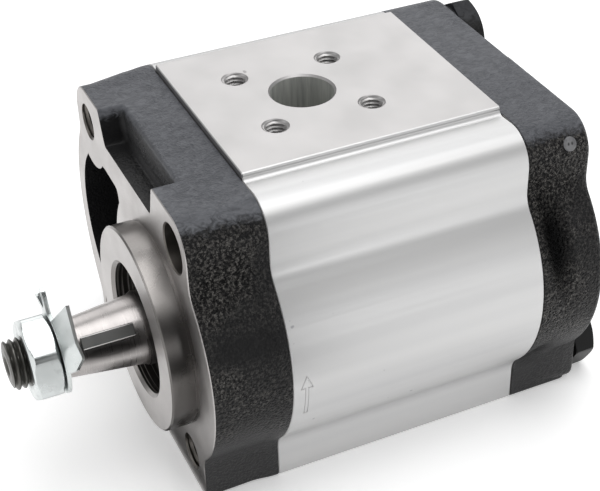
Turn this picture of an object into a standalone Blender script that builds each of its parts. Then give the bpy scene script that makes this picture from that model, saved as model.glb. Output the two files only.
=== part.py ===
"""External gear pump with a taper shaft, as separate solids.

Frame: metres, +Z up, origin at the middle of the bounding box's underside.
X runs across the two gears (drive gear at +X), Y runs along the shafts
(drive end towards -Y), and Z runs from the suction face up to the pressure
face. Dimensions below are millimetres, and MM turns them into metres.
"""

import math

import bmesh
import bpy
from mathutils import Matrix, Vector

MM = 0.001
GAP = 0.3  # clearance that stands for a contact or a running fit

# Stations along the shafts (Y), from the drive end to the rear. They are drawn from the
# gears' datum, and finish() moves every solid by CENTRE_Y to put the box's middle at Y = 0.
CENTRE_Y = -1.175
SHAFT_TIP_Y = -72.25
NUT_FRONT_Y = -68.1
NUT_THICK = 6.8
WASHER_THICK = 1.0
TAPER_SMALL_Y = -59.4
TAPER_LARGE_Y = -41.5
PILOT_FRONT_Y = -41.6
FLANGE_Y = -35.0
JOINT_FRONT_Y = -16.1
JOINT_REAR_Y = 49.4
REAR_Y = 66.5
REAR_RECESS_Y = 65.4
LOW_BOSS_Y = 67.9
HEAD_HEIGHT = 6.4

# Heights (Z) and the two shaft axes.
PORT_FACE_Z = 79.5
SHOULDER_Z = 77.9
AXIS_Z = 38.3
AXIS_X = 16.5

# Housing outline, on both sides of X = 0.
WALL_X = 40.0
FOOT_X = 39.6
CORNER_R = 8.2
LOBE_X = 17.6
LOBE_Z = 37.0
LOBE_R = 33.1
FILLET_R = 7.0
FLANGE_FAR_WALL_X = 37.8
FLANGE_FAR_LOBE_X = 3.3
FLANGE_FAR_LOBE_R = 43.0
PAD_MIN_X = -29.8
PAD_MAX_X = 25.8

# Ports: the pressure port on top, the suction port underneath.
PORT_X = -2.0
PORT_Y = 11.1
PRESSURE_R = 7.7
PRESSURE_PITCH = 35.0 / 2 / math.sqrt(2)
SUCTION_R = 10.0
SUCTION_PITCH = 40.0 / 2 / math.sqrt(2)
PORT_SCREW_R = 2.9
PORT_SCREW_DEPTH = 12.0

# Mounting pattern: 60 x 60, two clamp bolts on one diagonal, two through holes on the other.
HOLE_MIN_X = -29.0
HOLE_MAX_X = 31.0
HOLE_LOW_Z = 8.7
HOLE_HIGH_Z = 68.7
THROUGH_R = 5.75
CLAMP_R = 4.9
CLAMP_HOLE_R = 5.3
CLAMP_THREAD_R = 4.4
HEAD_ACROSS = 17.0

# Pilot ring and shaft seal bore in the front cover.
PILOT_R = 25.0
SEAL_BORE_R = 16.0
SEAL_FLOOR_Y = -26.6
SHAFT_PASS_R = 10.6

# Gear chamber, gears and bearings.
CHAMBER_R = 19.6
BLOCK_R = 19.3
GEAR_MIN_Y = 2.75
GEAR_MAX_Y = 30.55
TEETH = 12
MODULE = 2.75
PRESSURE_ANGLE = math.radians(25.0)
ADDENDUM = 2.6
DEDENDUM = 3.35
BACKLASH = 0.36
JOURNAL_R = 9.0
BUSH_IN_R = 9.3
BUSH_OUT_R = 10.8
BLOCK_BORE_R = 11.1

# Shaft end.
TAPER_LARGE_R = 8.43
TAPER_SMALL_R = 6.65
THREAD_MAJOR_R = 5.95
THREAD_MINOR_R = 5.1
THREAD_PITCH = 1.5
KEY_ANGLE = math.radians(40.0)


# ---------------------------------------------------------------- helpers

def clear_scene():
    for item in list(bpy.data.objects):
        bpy.data.objects.remove(item, do_unlink=True)


def arc(cx, cz, radius, start, end, steps):
    """Points of an arc in degrees, both ends included."""
    points = []
    for i in range(steps + 1):
        angle = math.radians(start + (end - start) * i / steps)
        points.append((cx + radius * math.cos(angle), cz + radius * math.sin(angle)))
    return points


def circle(cx, cz, radius, steps):
    return arc(cx, cz, radius, 0.0, 360.0, steps)[:-1]


def material(name, colour, roughness, metallic):
    mat = bpy.data.materials.get(name)
    if mat is None:
        mat = bpy.data.materials.new(name)
        mat.use_nodes = True
        shader = mat.node_tree.nodes["Principled BSDF"]
        shader.inputs["Base Color"].default_value = (*colour, 1.0)
        shader.inputs["Roughness"].default_value = roughness
        shader.inputs["Metallic"].default_value = metallic
    return mat


def finish(name, bm, mat, smooth_angle=35.0):
    """Turn a bmesh in millimetres into a named object in metres."""
    bmesh.ops.recalc_face_normals(bm, faces=bm.faces)
    bmesh.ops.translate(bm, vec=Vector((0.0, CENTRE_Y, 0.0)), verts=bm.verts)
    bmesh.ops.scale(bm, vec=Vector((MM, MM, MM)), verts=bm.verts)
    mesh = bpy.data.meshes.new(name)
    bm.to_mesh(mesh)
    bm.free()
    mesh.shade_smooth()
    mesh.set_sharp_from_angle(angle=math.radians(smooth_angle))
    obj = bpy.data.objects.new(name, mesh)
    if mat is not None:
        mesh.materials.append(mat)
    bpy.context.scene.collection.objects.link(obj)
    return obj


def loft_mesh(sections):
    """Closed mesh through rings of equal point count; each section is (y, outline)."""
    bm = bmesh.new()
    rings = []
    for y, outline in sections:
        rings.append([bm.verts.new((x, y, z)) for x, z in outline])
    count = len(rings[0])
    for low, high in zip(rings[:-1], rings[1:]):
        for i in range(count):
            j = (i + 1) % count
            bm.faces.new((low[i], low[j], high[j], high[i]))
    bm.faces.new(rings[0])
    bm.faces.new(rings[-1])
    return bm


def loft(name, sections, mat=None):
    return finish(name, loft_mesh(sections), mat)


def prism(name, outline, y0, y1, mat=None):
    return loft(name, [(y0, outline), (y1, outline)], mat)


def drill_z(name, x, y, profile, steps):
    """Upright turned cutter through (radius, z) points."""
    bm = bmesh.new()
    rings = []
    for radius, z in profile:
        ring = []
        for i in range(steps):
            angle = 2 * math.pi * i / steps
            ring.append(bm.verts.new((x + radius * math.cos(angle), y + radius * math.sin(angle), z)))
        rings.append(ring)
    for low, high in zip(rings[:-1], rings[1:]):
        for i in range(steps):
            j = (i + 1) % steps
            bm.faces.new((low[i], low[j], high[j], high[i]))
    bm.faces.new(rings[0])
    bm.faces.new(rings[-1])
    return finish(name, bm, None)


def screw_hole(name, x, y, face_z, inward):
    """Blind M6 hole with a broken edge; inward is -1 from the top face and 1 from the underside."""
    edge = 0.5
    profile = [(PORT_SCREW_R + edge + 1.0, face_z - inward * 1.0), (PORT_SCREW_R, face_z + inward * edge),
               (PORT_SCREW_R, face_z + inward * PORT_SCREW_DEPTH)]
    return drill_z(name, x, y, profile, 16)


def lathe_mesh(profile, steps, cx, cz, closed=False):
    """Revolve (radius, y) points about an axis along Y through (cx, cz).

    An open profile has end caps; a closed one is a ring. A radius may be a
    function of the angle.
    """
    bm = bmesh.new()
    rings = []
    for radius, y in profile:
        ring = []
        for i in range(steps):
            angle = 2 * math.pi * i / steps
            r = radius(angle) if callable(radius) else radius
            ring.append(bm.verts.new((cx + r * math.cos(angle), y, cz + r * math.sin(angle))))
        rings.append(ring)
    pairs = list(zip(rings[:-1], rings[1:]))
    if closed:
        pairs.append((rings[-1], rings[0]))
    for low, high in pairs:
        for i in range(steps):
            j = (i + 1) % steps
            bm.faces.new((low[i], low[j], high[j], high[i]))
    if not closed:
        bm.faces.new(rings[0])
        bm.faces.new(rings[-1])
    return bm


def lathe(name, profile, steps, cx, cz, mat=None, closed=False):
    return finish(name, lathe_mesh(profile, steps, cx, cz, closed), mat)


def combine(target, tool, operation):
    """Boolean target with tool, apply it, and remove the tool."""
    modifier = target.modifiers.new(operation, "BOOLEAN")
    modifier.operation = operation
    modifier.solver = "EXACT"
    modifier.object = tool
    depsgraph = bpy.context.evaluated_depsgraph_get()
    depsgraph.update()
    mesh = bpy.data.meshes.new_from_object(target.evaluated_get(depsgraph))
    target.modifiers.clear()
    old = target.data
    target.data = mesh
    bpy.data.meshes.remove(old)
    bpy.data.objects.remove(tool, do_unlink=True)


def cut(target, tool):
    combine(target, tool, "DIFFERENCE")


def join(target, tool):
    combine(target, tool, "UNION")


def tidy_edges(obj, smooth_angle=35.0):
    """Weld boolean slivers and set smooth shading with sharp edges."""
    bm = bmesh.new()
    bm.from_mesh(obj.data)
    bmesh.ops.remove_doubles(bm, verts=bm.verts, dist=0.00001)
    bmesh.ops.dissolve_degenerate(bm, edges=bm.edges, dist=0.00001)
    bm.to_mesh(obj.data)
    bm.free()
    obj.data.shade_smooth()
    obj.data.set_sharp_from_angle(angle=math.radians(smooth_angle))


# ---------------------------------------------------------------- outlines

def figure_eight(radius, steps=18):
    """Outline of two overlapping circles about the gear axes, counter-clockwise."""
    half = math.degrees(math.acos(AXIS_X / radius))
    right = arc(AXIS_X, AXIS_Z, radius, -180.0 + half, 180.0 - half, steps)
    left = arc(-AXIS_X, AXIS_Z, radius, half, 360.0 - half, steps)
    return right[:-1] + left[:-1]


def side_profile(wall, foot, lobe_x, lobe_r, corner_r, top):
    """Right half of the housing outline from the bottom to the top, as (x, z)."""
    centre_z = LOBE_Z
    reach = lobe_r + FILLET_R
    # A fillet blends the lobe into the straight wall above it and into the foot below it.
    up_x = wall + FILLET_R
    up_z = centre_z + math.sqrt(reach ** 2 - (up_x - lobe_x) ** 2)
    down_x = foot + FILLET_R
    down_z = centre_z - math.sqrt(reach ** 2 - (down_x - lobe_x) ** 2)
    up_angle = math.degrees(math.atan2(up_z - centre_z, up_x - lobe_x))
    down_angle = math.degrees(math.atan2(down_z - centre_z, down_x - lobe_x))
    points = [(foot - 0.8, 0.0), (foot, 0.8)]
    points += arc(down_x, down_z, FILLET_R, 180.0, 180.0 + down_angle, 4)
    points += arc(lobe_x, centre_z, lobe_r, down_angle, up_angle, 14)[1:]
    points += arc(up_x, up_z, FILLET_R, 180.0 + up_angle, 180.0, 4)[1:]
    points += arc(wall - corner_r, top - corner_r, corner_r, 0.0, 90.0, 6)
    return points


def housing_outline(inset=0.0):
    """Closed outline, the same on both sides; inset shrinks it all round."""
    near = side_profile(WALL_X - inset, FOOT_X - inset, LOBE_X, LOBE_R - inset, CORNER_R, SHOULDER_Z - inset)
    return near + [(-x, z) for x, z in reversed(near)]


def flange_outline(inset):
    """Outline of the flange face, narrower on the side of the driven gear."""
    near = side_profile(WALL_X - inset, FOOT_X - inset, LOBE_X, LOBE_R - inset, CORNER_R, SHOULDER_Z - inset)
    far = side_profile(FLANGE_FAR_WALL_X, FLANGE_FAR_WALL_X, FLANGE_FAR_LOBE_X, FLANGE_FAR_LOBE_R, CORNER_R,
                       SHOULDER_Z - inset)
    return near + [(-x, z) for x, z in reversed(far)]


# ---------------------------------------------------------------- housing

def make_pump_body(mat):
    near = side_profile(WALL_X, FOOT_X, LOBE_X, LOBE_R, CORNER_R, SHOULDER_Z)
    near_pad = [(PAD_MAX_X + 3.4, SHOULDER_Z), (PAD_MAX_X + 1.8, SHOULDER_Z - 0.6),
                (PAD_MAX_X + 0.4, SHOULDER_Z - 0.6), (PAD_MAX_X + 0.3, PORT_FACE_Z - 0.4),
                (PAD_MAX_X - 0.1, PORT_FACE_Z)]
    far_pad = [(PAD_MIN_X + 0.1, PORT_FACE_Z), (PAD_MIN_X - 0.3, PORT_FACE_Z - 0.4),
               (PAD_MIN_X - 0.4, SHOULDER_Z)]
    far = [(-x, z) for x, z in reversed(near)]
    outline = near + near_pad + far_pad + far
    body = prism("pump_body", outline, JOINT_FRONT_Y, JOINT_REAR_Y, mat)
    cut(body, prism("chamber_cut", figure_eight(CHAMBER_R), JOINT_FRONT_Y - 1, JOINT_REAR_Y + 1))
    edge = 0.4
    pressure = [(PRESSURE_R, 47.0), (PRESSURE_R, PORT_FACE_Z - edge),
                (PRESSURE_R + edge + 1, PORT_FACE_Z + 1)]
    cut(body, drill_z("pressure_cut", PORT_X, PORT_Y, pressure, 36))
    suction = [(SUCTION_R + edge + 1, -1.0), (SUCTION_R, edge), (SUCTION_R, 29.0)]
    cut(body, drill_z("suction_cut", PORT_X, PORT_Y, suction, 36))
    for sx in (-1, 1):
        for sy in (-1, 1):
            x = PORT_X + sx * PRESSURE_PITCH
            y = PORT_Y + sy * PRESSURE_PITCH
            cut(body, screw_hole("screw_cut", x, y, PORT_FACE_Z, -1))
            x = PORT_X + sx * SUCTION_PITCH
            y = PORT_Y + sy * SUCTION_PITCH
            cut(body, screw_hole("screw_cut", x, y, 0.0, 1))
    for x, z, radius in long_holes():
        cut(body, prism("bolt_cut", circle(x, z, radius, 20), JOINT_FRONT_Y - 1, JOINT_REAR_Y + 1))
    for y0, y1 in ((JOINT_FRONT_Y - 1, JOINT_FRONT_Y + 6.3), (JOINT_REAR_Y - 6.3, JOINT_REAR_Y + 1)):
        for x, z in dowel_places():
            cut(body, prism("dowel_cut", circle(x, z, 2.8, 12), y0, y1))
    tidy_edges(body)
    return body


def long_holes():
    """(x, z, radius) of the holes that run through the body and rear cover."""
    return [(HOLE_MIN_X, HOLE_HIGH_Z, CLAMP_HOLE_R), (HOLE_MAX_X, HOLE_LOW_Z, CLAMP_HOLE_R),
            (HOLE_MAX_X, HOLE_HIGH_Z, THROUGH_R), (HOLE_MIN_X, HOLE_LOW_Z, THROUGH_R)]


def dowel_places():
    return [(14.0, AXIS_Z + 28.0), (-14.0, AXIS_Z - 28.0)]


def pocket_outline():
    """Cast pocket beside the pilot: two bosses, two webs, the land round the pilot and the far rim."""
    boss_r = 11.8
    land_r = 31.3
    web_z = 60.7
    land_angle = 143.3
    upper = arc(HOLE_MIN_X, HOLE_HIGH_Z, boss_r, -108.0, -42.0, 6)
    upper += [(-18.2, web_z + 0.3), (-10.2, web_z), (-8.9, web_z - 1.2)]
    lower = arc(HOLE_MIN_X, HOLE_LOW_Z, boss_r, 42.0, 108.0, 6)
    low_web = [(x, 2 * AXIS_Z - z) for x, z in reversed(upper[-3:])]
    land = arc(AXIS_X, AXIS_Z, land_r, land_angle, 360.0 - land_angle, 10)
    rim = arc(-15.4, AXIS_Z, 26.0, 228.0, 132.0, 10)
    return upper + land + low_web + lower + rim


def make_front_cover(mat):
    full = housing_outline()
    body_side = housing_outline(inset=0.5)
    rim_end = JOINT_FRONT_Y - 2.0
    cover = loft("front_cover", [(JOINT_FRONT_Y - GAP, full), (rim_end, full), (rim_end - 0.6, body_side),
                                 (FLANGE_Y + 3.0, flange_outline(0.5)), (FLANGE_Y, flange_outline(0.5))], mat)
    pilot = [(PILOT_R, JOINT_FRONT_Y - 6), (PILOT_R, PILOT_FRONT_Y + 0.8), (PILOT_R - 0.8, PILOT_FRONT_Y)]
    join(cover, lathe("pilot_add", pilot, 56, AXIS_X, AXIS_Z))
    notch = [(-19.0, SHOULDER_Z + 1), (-15.7, 68.9), (16.6, 68.9), (19.4, SHOULDER_Z + 1)]
    cut(cover, prism("notch_cut", notch, FLANGE_Y - 1, -29.0))
    cut(cover, prism("pocket_cut", pocket_outline(), FLANGE_Y - 1, FLANGE_Y + 9.5))
    bore = [(SEAL_BORE_R + 1.2, PILOT_FRONT_Y - 0.4), (SEAL_BORE_R, PILOT_FRONT_Y + 0.8),
            (SEAL_BORE_R, -36.4), (SEAL_BORE_R + 1.1, -36.4), (SEAL_BORE_R + 1.1, -34.7),
            (SEAL_BORE_R, -34.7), (SEAL_BORE_R, SEAL_FLOOR_Y), (SHAFT_PASS_R, SEAL_FLOOR_Y),
            (SHAFT_PASS_R, JOINT_FRONT_Y + 1)]
    cut(cover, lathe("bore_cut", bore, 40, AXIS_X, AXIS_Z))
    cut(cover, seal_groove(JOINT_FRONT_Y - GAP - 1.7, JOINT_FRONT_Y + 1))
    for x, z in ((HOLE_MIN_X, HOLE_HIGH_Z), (HOLE_MAX_X, HOLE_LOW_Z)):
        step = [(CLAMP_THREAD_R, FLANGE_Y - 1), (CLAMP_THREAD_R, -28.4), (CLAMP_HOLE_R, -28.4),
                (CLAMP_HOLE_R, JOINT_FRONT_Y + 1)]
        cut(cover, lathe("clamp_cut", step, 20, x, z))
    for x, z in ((HOLE_MAX_X, HOLE_HIGH_Z), (HOLE_MIN_X, HOLE_LOW_Z)):
        cut(cover, prism("through_cut", circle(x, z, THROUGH_R, 20), FLANGE_Y - 1, JOINT_FRONT_Y + 1))
    for x, z in dowel_places():
        cut(cover, prism("dowel_cut", circle(x, z, 2.8, 12), JOINT_FRONT_Y - 6.3, JOINT_FRONT_Y + 1))
    tidy_edges(cover)
    return cover


def seal_groove(y0, y1):
    """Cutter for the groove that holds a case seal."""
    return ring_prism("groove_cut", figure_eight(23.1), figure_eight(20.9), y0, y1)


def low_boss_outline(reach, inset):
    """Boss round the lower clamp bolt: a foot with rounded outer corners, reach being its outer X."""
    inner_x = 20.0
    height = 19.0
    corner_r = 4.0
    low = arc(reach - corner_r, corner_r, corner_r - inset, -90.0, 0.0, 3)
    high = arc(reach - corner_r, height - corner_r, corner_r - inset, 0.0, 90.0, 3)
    return [(inner_x + inset, inset)] + low + high + [(inner_x + inset, height - inset)]


def bell(value, centre, width):
    return math.exp(-((value - centre) / width) ** 2)


def flank_hollow(y, z):
    """Depth of the soft cast hollows in the rear cover's flanks."""
    tall = 2.0 * bell(y, 54.4 + 0.13 * (52.0 - z), 2.2) * bell(z, 51.0, 11.0)
    small = 1.4 * bell(y, 54.5, 3.0) * bell(z, 16.5, 4.5)
    return tall + small


def hollowed_outline(y):
    """Rear cover outline at a station along the shafts; only the flanks are hollowed."""
    flank_x = 36.0
    outline = []
    for x, z in housing_outline():
        depth = flank_hollow(y, z) if abs(x) > flank_x else 0.0
        outline.append((x - math.copysign(depth, x), z))
    return outline


def make_rear_cover(mat):
    full = housing_outline()
    edge = housing_outline(inset=0.6)
    back = housing_outline(inset=1.8)
    stations = [50.8, 52.0, 53.2, 54.4, 55.6, 56.8, 58.2, 60.2]
    sections = [(JOINT_REAR_Y + GAP, full)] + [(y, hollowed_outline(y)) for y in stations]
    cover = loft("rear_cover", sections + [(REAR_Y - 2.0, full), (REAR_Y - 0.6, edge), (REAR_Y, back)], mat)
    root = low_boss_outline(FOOT_X - 0.2, 0.4)
    wide = low_boss_outline(FOOT_X + 1.2, 0.1)
    top = low_boss_outline(FOOT_X + 1.2, 1.0)
    boss = [(JOINT_REAR_Y + GAP + 0.5, root), (REAR_Y - 2.0, wide),
            (LOW_BOSS_Y - 0.8, wide), (LOW_BOSS_Y, top)]
    join(cover, loft("boss_add", boss))
    recess = [(-24.0, 68.0), (2.0, 68.0), (2.0, SHOULDER_Z + 1), (-24.0, SHOULDER_Z + 1)]
    cut(cover, prism("recess_cut", recess, REAR_RECESS_Y, REAR_Y + 1))
    cut(cover, seal_groove(JOINT_REAR_Y - 1, JOINT_REAR_Y + GAP + 1.7))
    for x, z, radius in long_holes():
        cut(cover, prism("bolt_cut", circle(x, z, radius, 20), JOINT_REAR_Y - 1, LOW_BOSS_Y + 1))
    for x, z in dowel_places():
        cut(cover, prism("dowel_cut", circle(x, z, 2.8, 12), JOINT_REAR_Y - 1, JOINT_REAR_Y + 6.3))
    tidy_edges(cover)
    return cover


# ---------------------------------------------------------------- seals

def ring_prism(name, outer, inner, y0, y1, mat=None):
    """Band between two outlines of equal point count."""
    bm = bmesh.new()
    loops = []
    for outline in (outer, inner):
        for y in (y0, y1):
            loops.append([bm.verts.new((x, y, z)) for x, z in outline])
    outer0, outer1, inner0, inner1 = loops
    count = len(outer0)
    for i in range(count):
        j = (i + 1) % count
        bm.faces.new((outer0[i], outer0[j], outer1[j], outer1[i]))
        bm.faces.new((inner0[j], inner0[i], inner1[i], inner1[j]))
        bm.faces.new((outer0[j], outer0[i], inner0[i], inner0[j]))
        bm.faces.new((outer1[i], outer1[j], inner1[j], inner1[i]))
    return finish(name, bm, mat)


def make_case_seal(name, y0, y1, mat):
    ring_prism(name, figure_eight(22.8), figure_eight(21.2), y0, y1, mat)


def strip_outline(radius, width):
    """3-shaped strip over the pressure side of both bores, as one closed outline."""
    half = width / 2
    join_angle = 25.0
    outline = []
    for r in (radius + half, radius - half):
        left = arc(-AXIS_X, AXIS_Z, r, 188.0, join_angle, 12)
        right = arc(AXIS_X, AXIS_Z, r, 180.0 - join_angle, -8.0, 12)
        side = left + right
        outline += side if r > radius else list(reversed(side))
    return outline


def make_shaft_seal(rubber, steel):
    profile = [(15.7, -34.4), (15.7, -26.9), (14.4, -26.9), (14.2, -32.9), (11.6, -32.6), (11.0, -29.0),
               (9.9, -29.0), (9.3, -30.6), (10.2, -33.4), (9.4, -34.4)]
    lathe("shaft_seal", profile, 32, AXIS_X, AXIS_Z, rubber, closed=True)
    coil = arc(12.2, -30.2, 0.55, 0.0, 300.0, 5)
    lathe("seal_spring", coil, 24, AXIS_X, AXIS_Z, steel, closed=True)


def make_retaining_ring(mat):
    outer = arc(AXIS_X, AXIS_Z, 16.8, -62.0, 242.0, 28)
    inner = arc(AXIS_X, AXIS_Z, 14.4, 238.0, -58.0, 28)
    lug_left = arc(AXIS_X, AXIS_Z, 13.0, 248.0, 242.0, 1) + [inner[0]]
    lug_right = [inner[-1]] + arc(AXIS_X, AXIS_Z, 13.0, -62.0, -68.0, 1)
    outline = outer[1:-1] + [arc(AXIS_X, AXIS_Z, 16.8, 242.0, 250.0, 1)[1]]
    outline += lug_left + inner[1:-1] + lug_right + [arc(AXIS_X, AXIS_Z, 16.8, -70.0, -62.0, 1)[0]]
    prism("retaining_ring", outline, -36.1, -35.0, mat)


# ---------------------------------------------------------------- bearings

def make_bearing_block(name, y0, y1, groove_y, mat):
    block = prism(name, figure_eight(BLOCK_R), y0, y1, mat)
    for side in (-1, 1):
        cut(block, prism("bush_cut", circle(side * AXIS_X, AXIS_Z, BLOCK_BORE_R, 24), y0 - 1, y1 + 1))
    cut(block, prism("seal_cut", strip_outline(14.9, 5.2), min(groove_y), max(groove_y)))
    tidy_edges(block)
    return block


def make_bush(name, side, y0, y1, mat):
    cx = side * AXIS_X
    ring_prism(name, circle(cx, AXIS_Z, BUSH_OUT_R, 24), circle(cx, AXIS_Z, BUSH_IN_R, 24), y0, y1, mat)


# ---------------------------------------------------------------- gears and shafts

def involute_angle(radius, base):
    """Polar angle of an involute at a radius."""
    ratio = math.sqrt(max(0.0, (radius / base) ** 2 - 1.0))
    return ratio - math.atan(ratio)


def gear_outline(cx, phase):
    """Full external gear outline about (cx, AXIS_Z), tooth zero centred on phase."""
    pitch_r = MODULE * TEETH / 2
    base_r = pitch_r * math.cos(PRESSURE_ANGLE)
    tip_r = pitch_r + ADDENDUM
    root_r = pitch_r - DEDENDUM
    half_tooth = math.pi / (2 * TEETH) - BACKLASH / (4 * pitch_r)
    pitch_inv = involute_angle(pitch_r, base_r)
    start_r = max(base_r, root_r + 0.6)
    flank = [start_r + (tip_r - start_r) * i / 4 for i in range(5)]
    outline = []
    for tooth in range(TEETH):
        middle = phase + 2 * math.pi * tooth / TEETH
        rising = []
        for r in flank:
            rising.append((r, half_tooth + pitch_inv - involute_angle(r, base_r)))
        root_half = rising[0][1] + 0.02
        polar = [(root_r, -root_half)]
        polar += [(r, -a) for r, a in rising]
        polar += [(r, a) for r, a in reversed(rising)]
        polar.append((root_r, root_half))
        for r, a in polar:
            outline.append((cx + r * math.cos(middle + a), AXIS_Z + r * math.sin(middle + a)))
    return outline


def thread_radius(y):
    """Radius of the M12 thread at station y, as a function of the angle round the shaft."""
    def radius(angle):
        turn = (y - SHAFT_TIP_Y) / THREAD_PITCH - angle / (2 * math.pi)
        wave = abs((turn % 1.0) * 2.0 - 1.0)
        height = min(1.0, max(0.0, wave * 1.35 - 0.1))
        start = min(1.0, max(0.0, (y - SHAFT_TIP_Y) / 0.9))
        end = min(1.0, max(0.0, (NUT_FRONT_Y + 0.45 - y) / 0.5))
        crest = THREAD_MINOR_R + (THREAD_MAJOR_R - THREAD_MINOR_R) * min(start * 0.6 + 0.4, end)
        return THREAD_MINOR_R + (crest - THREAD_MINOR_R) * height
    return radius


def make_drive_gear_shaft(mat):
    gear = prism("drive_gear_shaft", gear_outline(AXIS_X, 0.0), GEAR_MIN_Y, GEAR_MAX_Y, mat)
    profile = [(2.2, SHAFT_TIP_Y + 0.9), (2.6, SHAFT_TIP_Y), (4.4, SHAFT_TIP_Y)]
    step = THREAD_PITCH / 5
    for i in range(int((NUT_FRONT_Y - SHAFT_TIP_Y) / step) + 2):
        y = SHAFT_TIP_Y + 0.3 + step * i
        profile.append((thread_radius(y), y))
    profile += [(THREAD_MINOR_R, TAPER_SMALL_Y - 0.4), (TAPER_SMALL_R - 0.4, TAPER_SMALL_Y - 0.1),
                (TAPER_SMALL_R, TAPER_SMALL_Y + 0.3), (TAPER_LARGE_R, TAPER_LARGE_Y),
                (JOURNAL_R, TAPER_LARGE_Y + 1.0), (JOURNAL_R, JOINT_REAR_Y - GAP - 0.6),
                (JOURNAL_R - 0.6, JOINT_REAR_Y - GAP)]
    join(gear, lathe("shaft_add", profile, 30, AXIS_X, AXIS_Z))
    cut(gear, key_solid("key_cut", 0.2, 0.3, 6.0, None))
    tidy_edges(gear, 30.0)
    return gear


def make_driven_gear_shaft(mat):
    phase = math.pi / TEETH
    gear = prism("driven_gear_shaft", gear_outline(-AXIS_X, phase), GEAR_MIN_Y, GEAR_MAX_Y, mat)
    profile = [(JOURNAL_R - 0.6, JOINT_FRONT_Y + GAP), (JOURNAL_R, JOINT_FRONT_Y + GAP + 0.6),
               (JOURNAL_R, JOINT_REAR_Y - GAP - 0.6), (JOURNAL_R - 0.6, JOINT_REAR_Y - GAP)]
    join(gear, lathe("shaft_add", profile, 30, -AXIS_X, AXIS_Z))
    tidy_edges(gear, 30.0)
    return gear


def key_solid(name, side_gap, round_gap, rise, mat):
    """Woodruff key 3 x 5 on the taper, or its keyseat when gaps are given."""
    radius = 6.5 + round_gap
    half_width = 1.5 + side_gap
    centre_y = -49.7
    centre_out = 10.3
    chord_out = 8.9 + rise
    drop = centre_out - 8.9
    if rise > 0:
        span = radius
        profile = [(-span, chord_out)] + arc(0.0, centre_out, radius, 180.0, 360.0, 16) + [(span, chord_out)]
    else:
        start = math.degrees(math.asin(drop / radius))
        profile = arc(0.0, centre_out, radius, 180.0 + start, 360.0 - start, 16)
    bm = bmesh.new()
    sides = []
    for across in (-half_width, half_width):
        sides.append([bm.verts.new((across, centre_y + along, out)) for along, out in profile])
    count = len(profile)
    for i in range(count):
        j = (i + 1) % count
        bm.faces.new((sides[0][i], sides[0][j], sides[1][j], sides[1][i]))
    bm.faces.new(sides[0])
    bm.faces.new(sides[1])
    turn = Matrix.Rotation(math.pi / 2 - KEY_ANGLE, 4, "Y")
    bmesh.ops.transform(bm, matrix=Matrix.Translation((AXIS_X, 0.0, AXIS_Z)) @ turn, verts=bm.verts)
    return finish(name, bm, mat)


# ---------------------------------------------------------------- fasteners

def hexagon_radius(angle, across, phase):
    """Distance from the centre of a hexagon to its side at an angle."""
    local = (angle - phase) % (math.pi / 3) - math.pi / 6
    return across / 2 / math.cos(local)


def hex_ring(across, phase, limit):
    """Radius function: a hexagon trimmed by a circle, for chamfered corners."""
    def radius(angle):
        return min(limit, hexagon_radius(angle, across, phase))
    return radius


def make_shaft_nut(mat):
    across = 18.8
    corner = across / math.sqrt(3)
    phase = math.radians(37.5)
    y0 = NUT_FRONT_Y
    y1 = NUT_FRONT_Y + NUT_THICK
    outside = [(hex_ring(across, phase, corner - 1.15), y0), (hex_ring(across, phase, corner - 0.5), y0 + 0.35),
               (hex_ring(across, phase, corner + 1), y0 + 0.75), (hex_ring(across, phase, corner + 1), y1 - 0.75),
               (hex_ring(across, phase, corner - 0.5), y1 - 0.35), (hex_ring(across, phase, corner - 1.15), y1)]
    hole = [(6.4, y1), (5.5, y1 - 0.8), (5.5, y0 + 0.9), (6.5, y0)]
    lathe("shaft_nut", outside + hole, 36, AXIS_X, AXIS_Z, mat, closed=True)


def make_clamp_bolt(name, x, z, face_y, phase, mat):
    across = HEAD_ACROSS
    corner = across / math.sqrt(3)
    seat = face_y + GAP
    top = seat + HEAD_HEIGHT
    head = [(4.6, -28.1), (CLAMP_R, -27.4), (CLAMP_R, seat), (hex_ring(across, phase, 8.4), seat),
            (hex_ring(across, phase, corner + 1), seat + 0.5),
            (hex_ring(across, phase, corner + 1), top - 0.9), (hex_ring(across, phase, corner - 0.4), top - 0.4),
            (hex_ring(across, phase, corner - 1.3), top)]
    lathe(name, head, 24, x, z, mat)


def make_lock_washer(mat):
    """Flat ring with a wide tab bent back towards the pump and a narrow forked tab."""
    y0 = NUT_FRONT_Y + NUT_THICK + GAP
    y1 = y0 + WASHER_THICK
    washer = ring_prism("lock_washer", circle(AXIS_X, AXIS_Z, 9.8, 32),
                        circle(AXIS_X, AXIS_Z, 6.3, 32), y0, y1, mat)
    join(washer, wide_tab("wide_tab_add", y0))
    join(washer, forked_tab("forked_tab_add", y0, y1))
    tidy_edges(washer)
    return washer


def place_on_shaft(bm, angle):
    """Turn a bmesh whose +Z points outwards so that it points along angle from the drive axis."""
    turn = Matrix.Rotation(math.pi / 2 - angle, 4, "Y")
    bmesh.ops.transform(bm, matrix=Matrix.Translation((AXIS_X, 0.0, AXIS_Z)) @ turn, verts=bm.verts)


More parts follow.
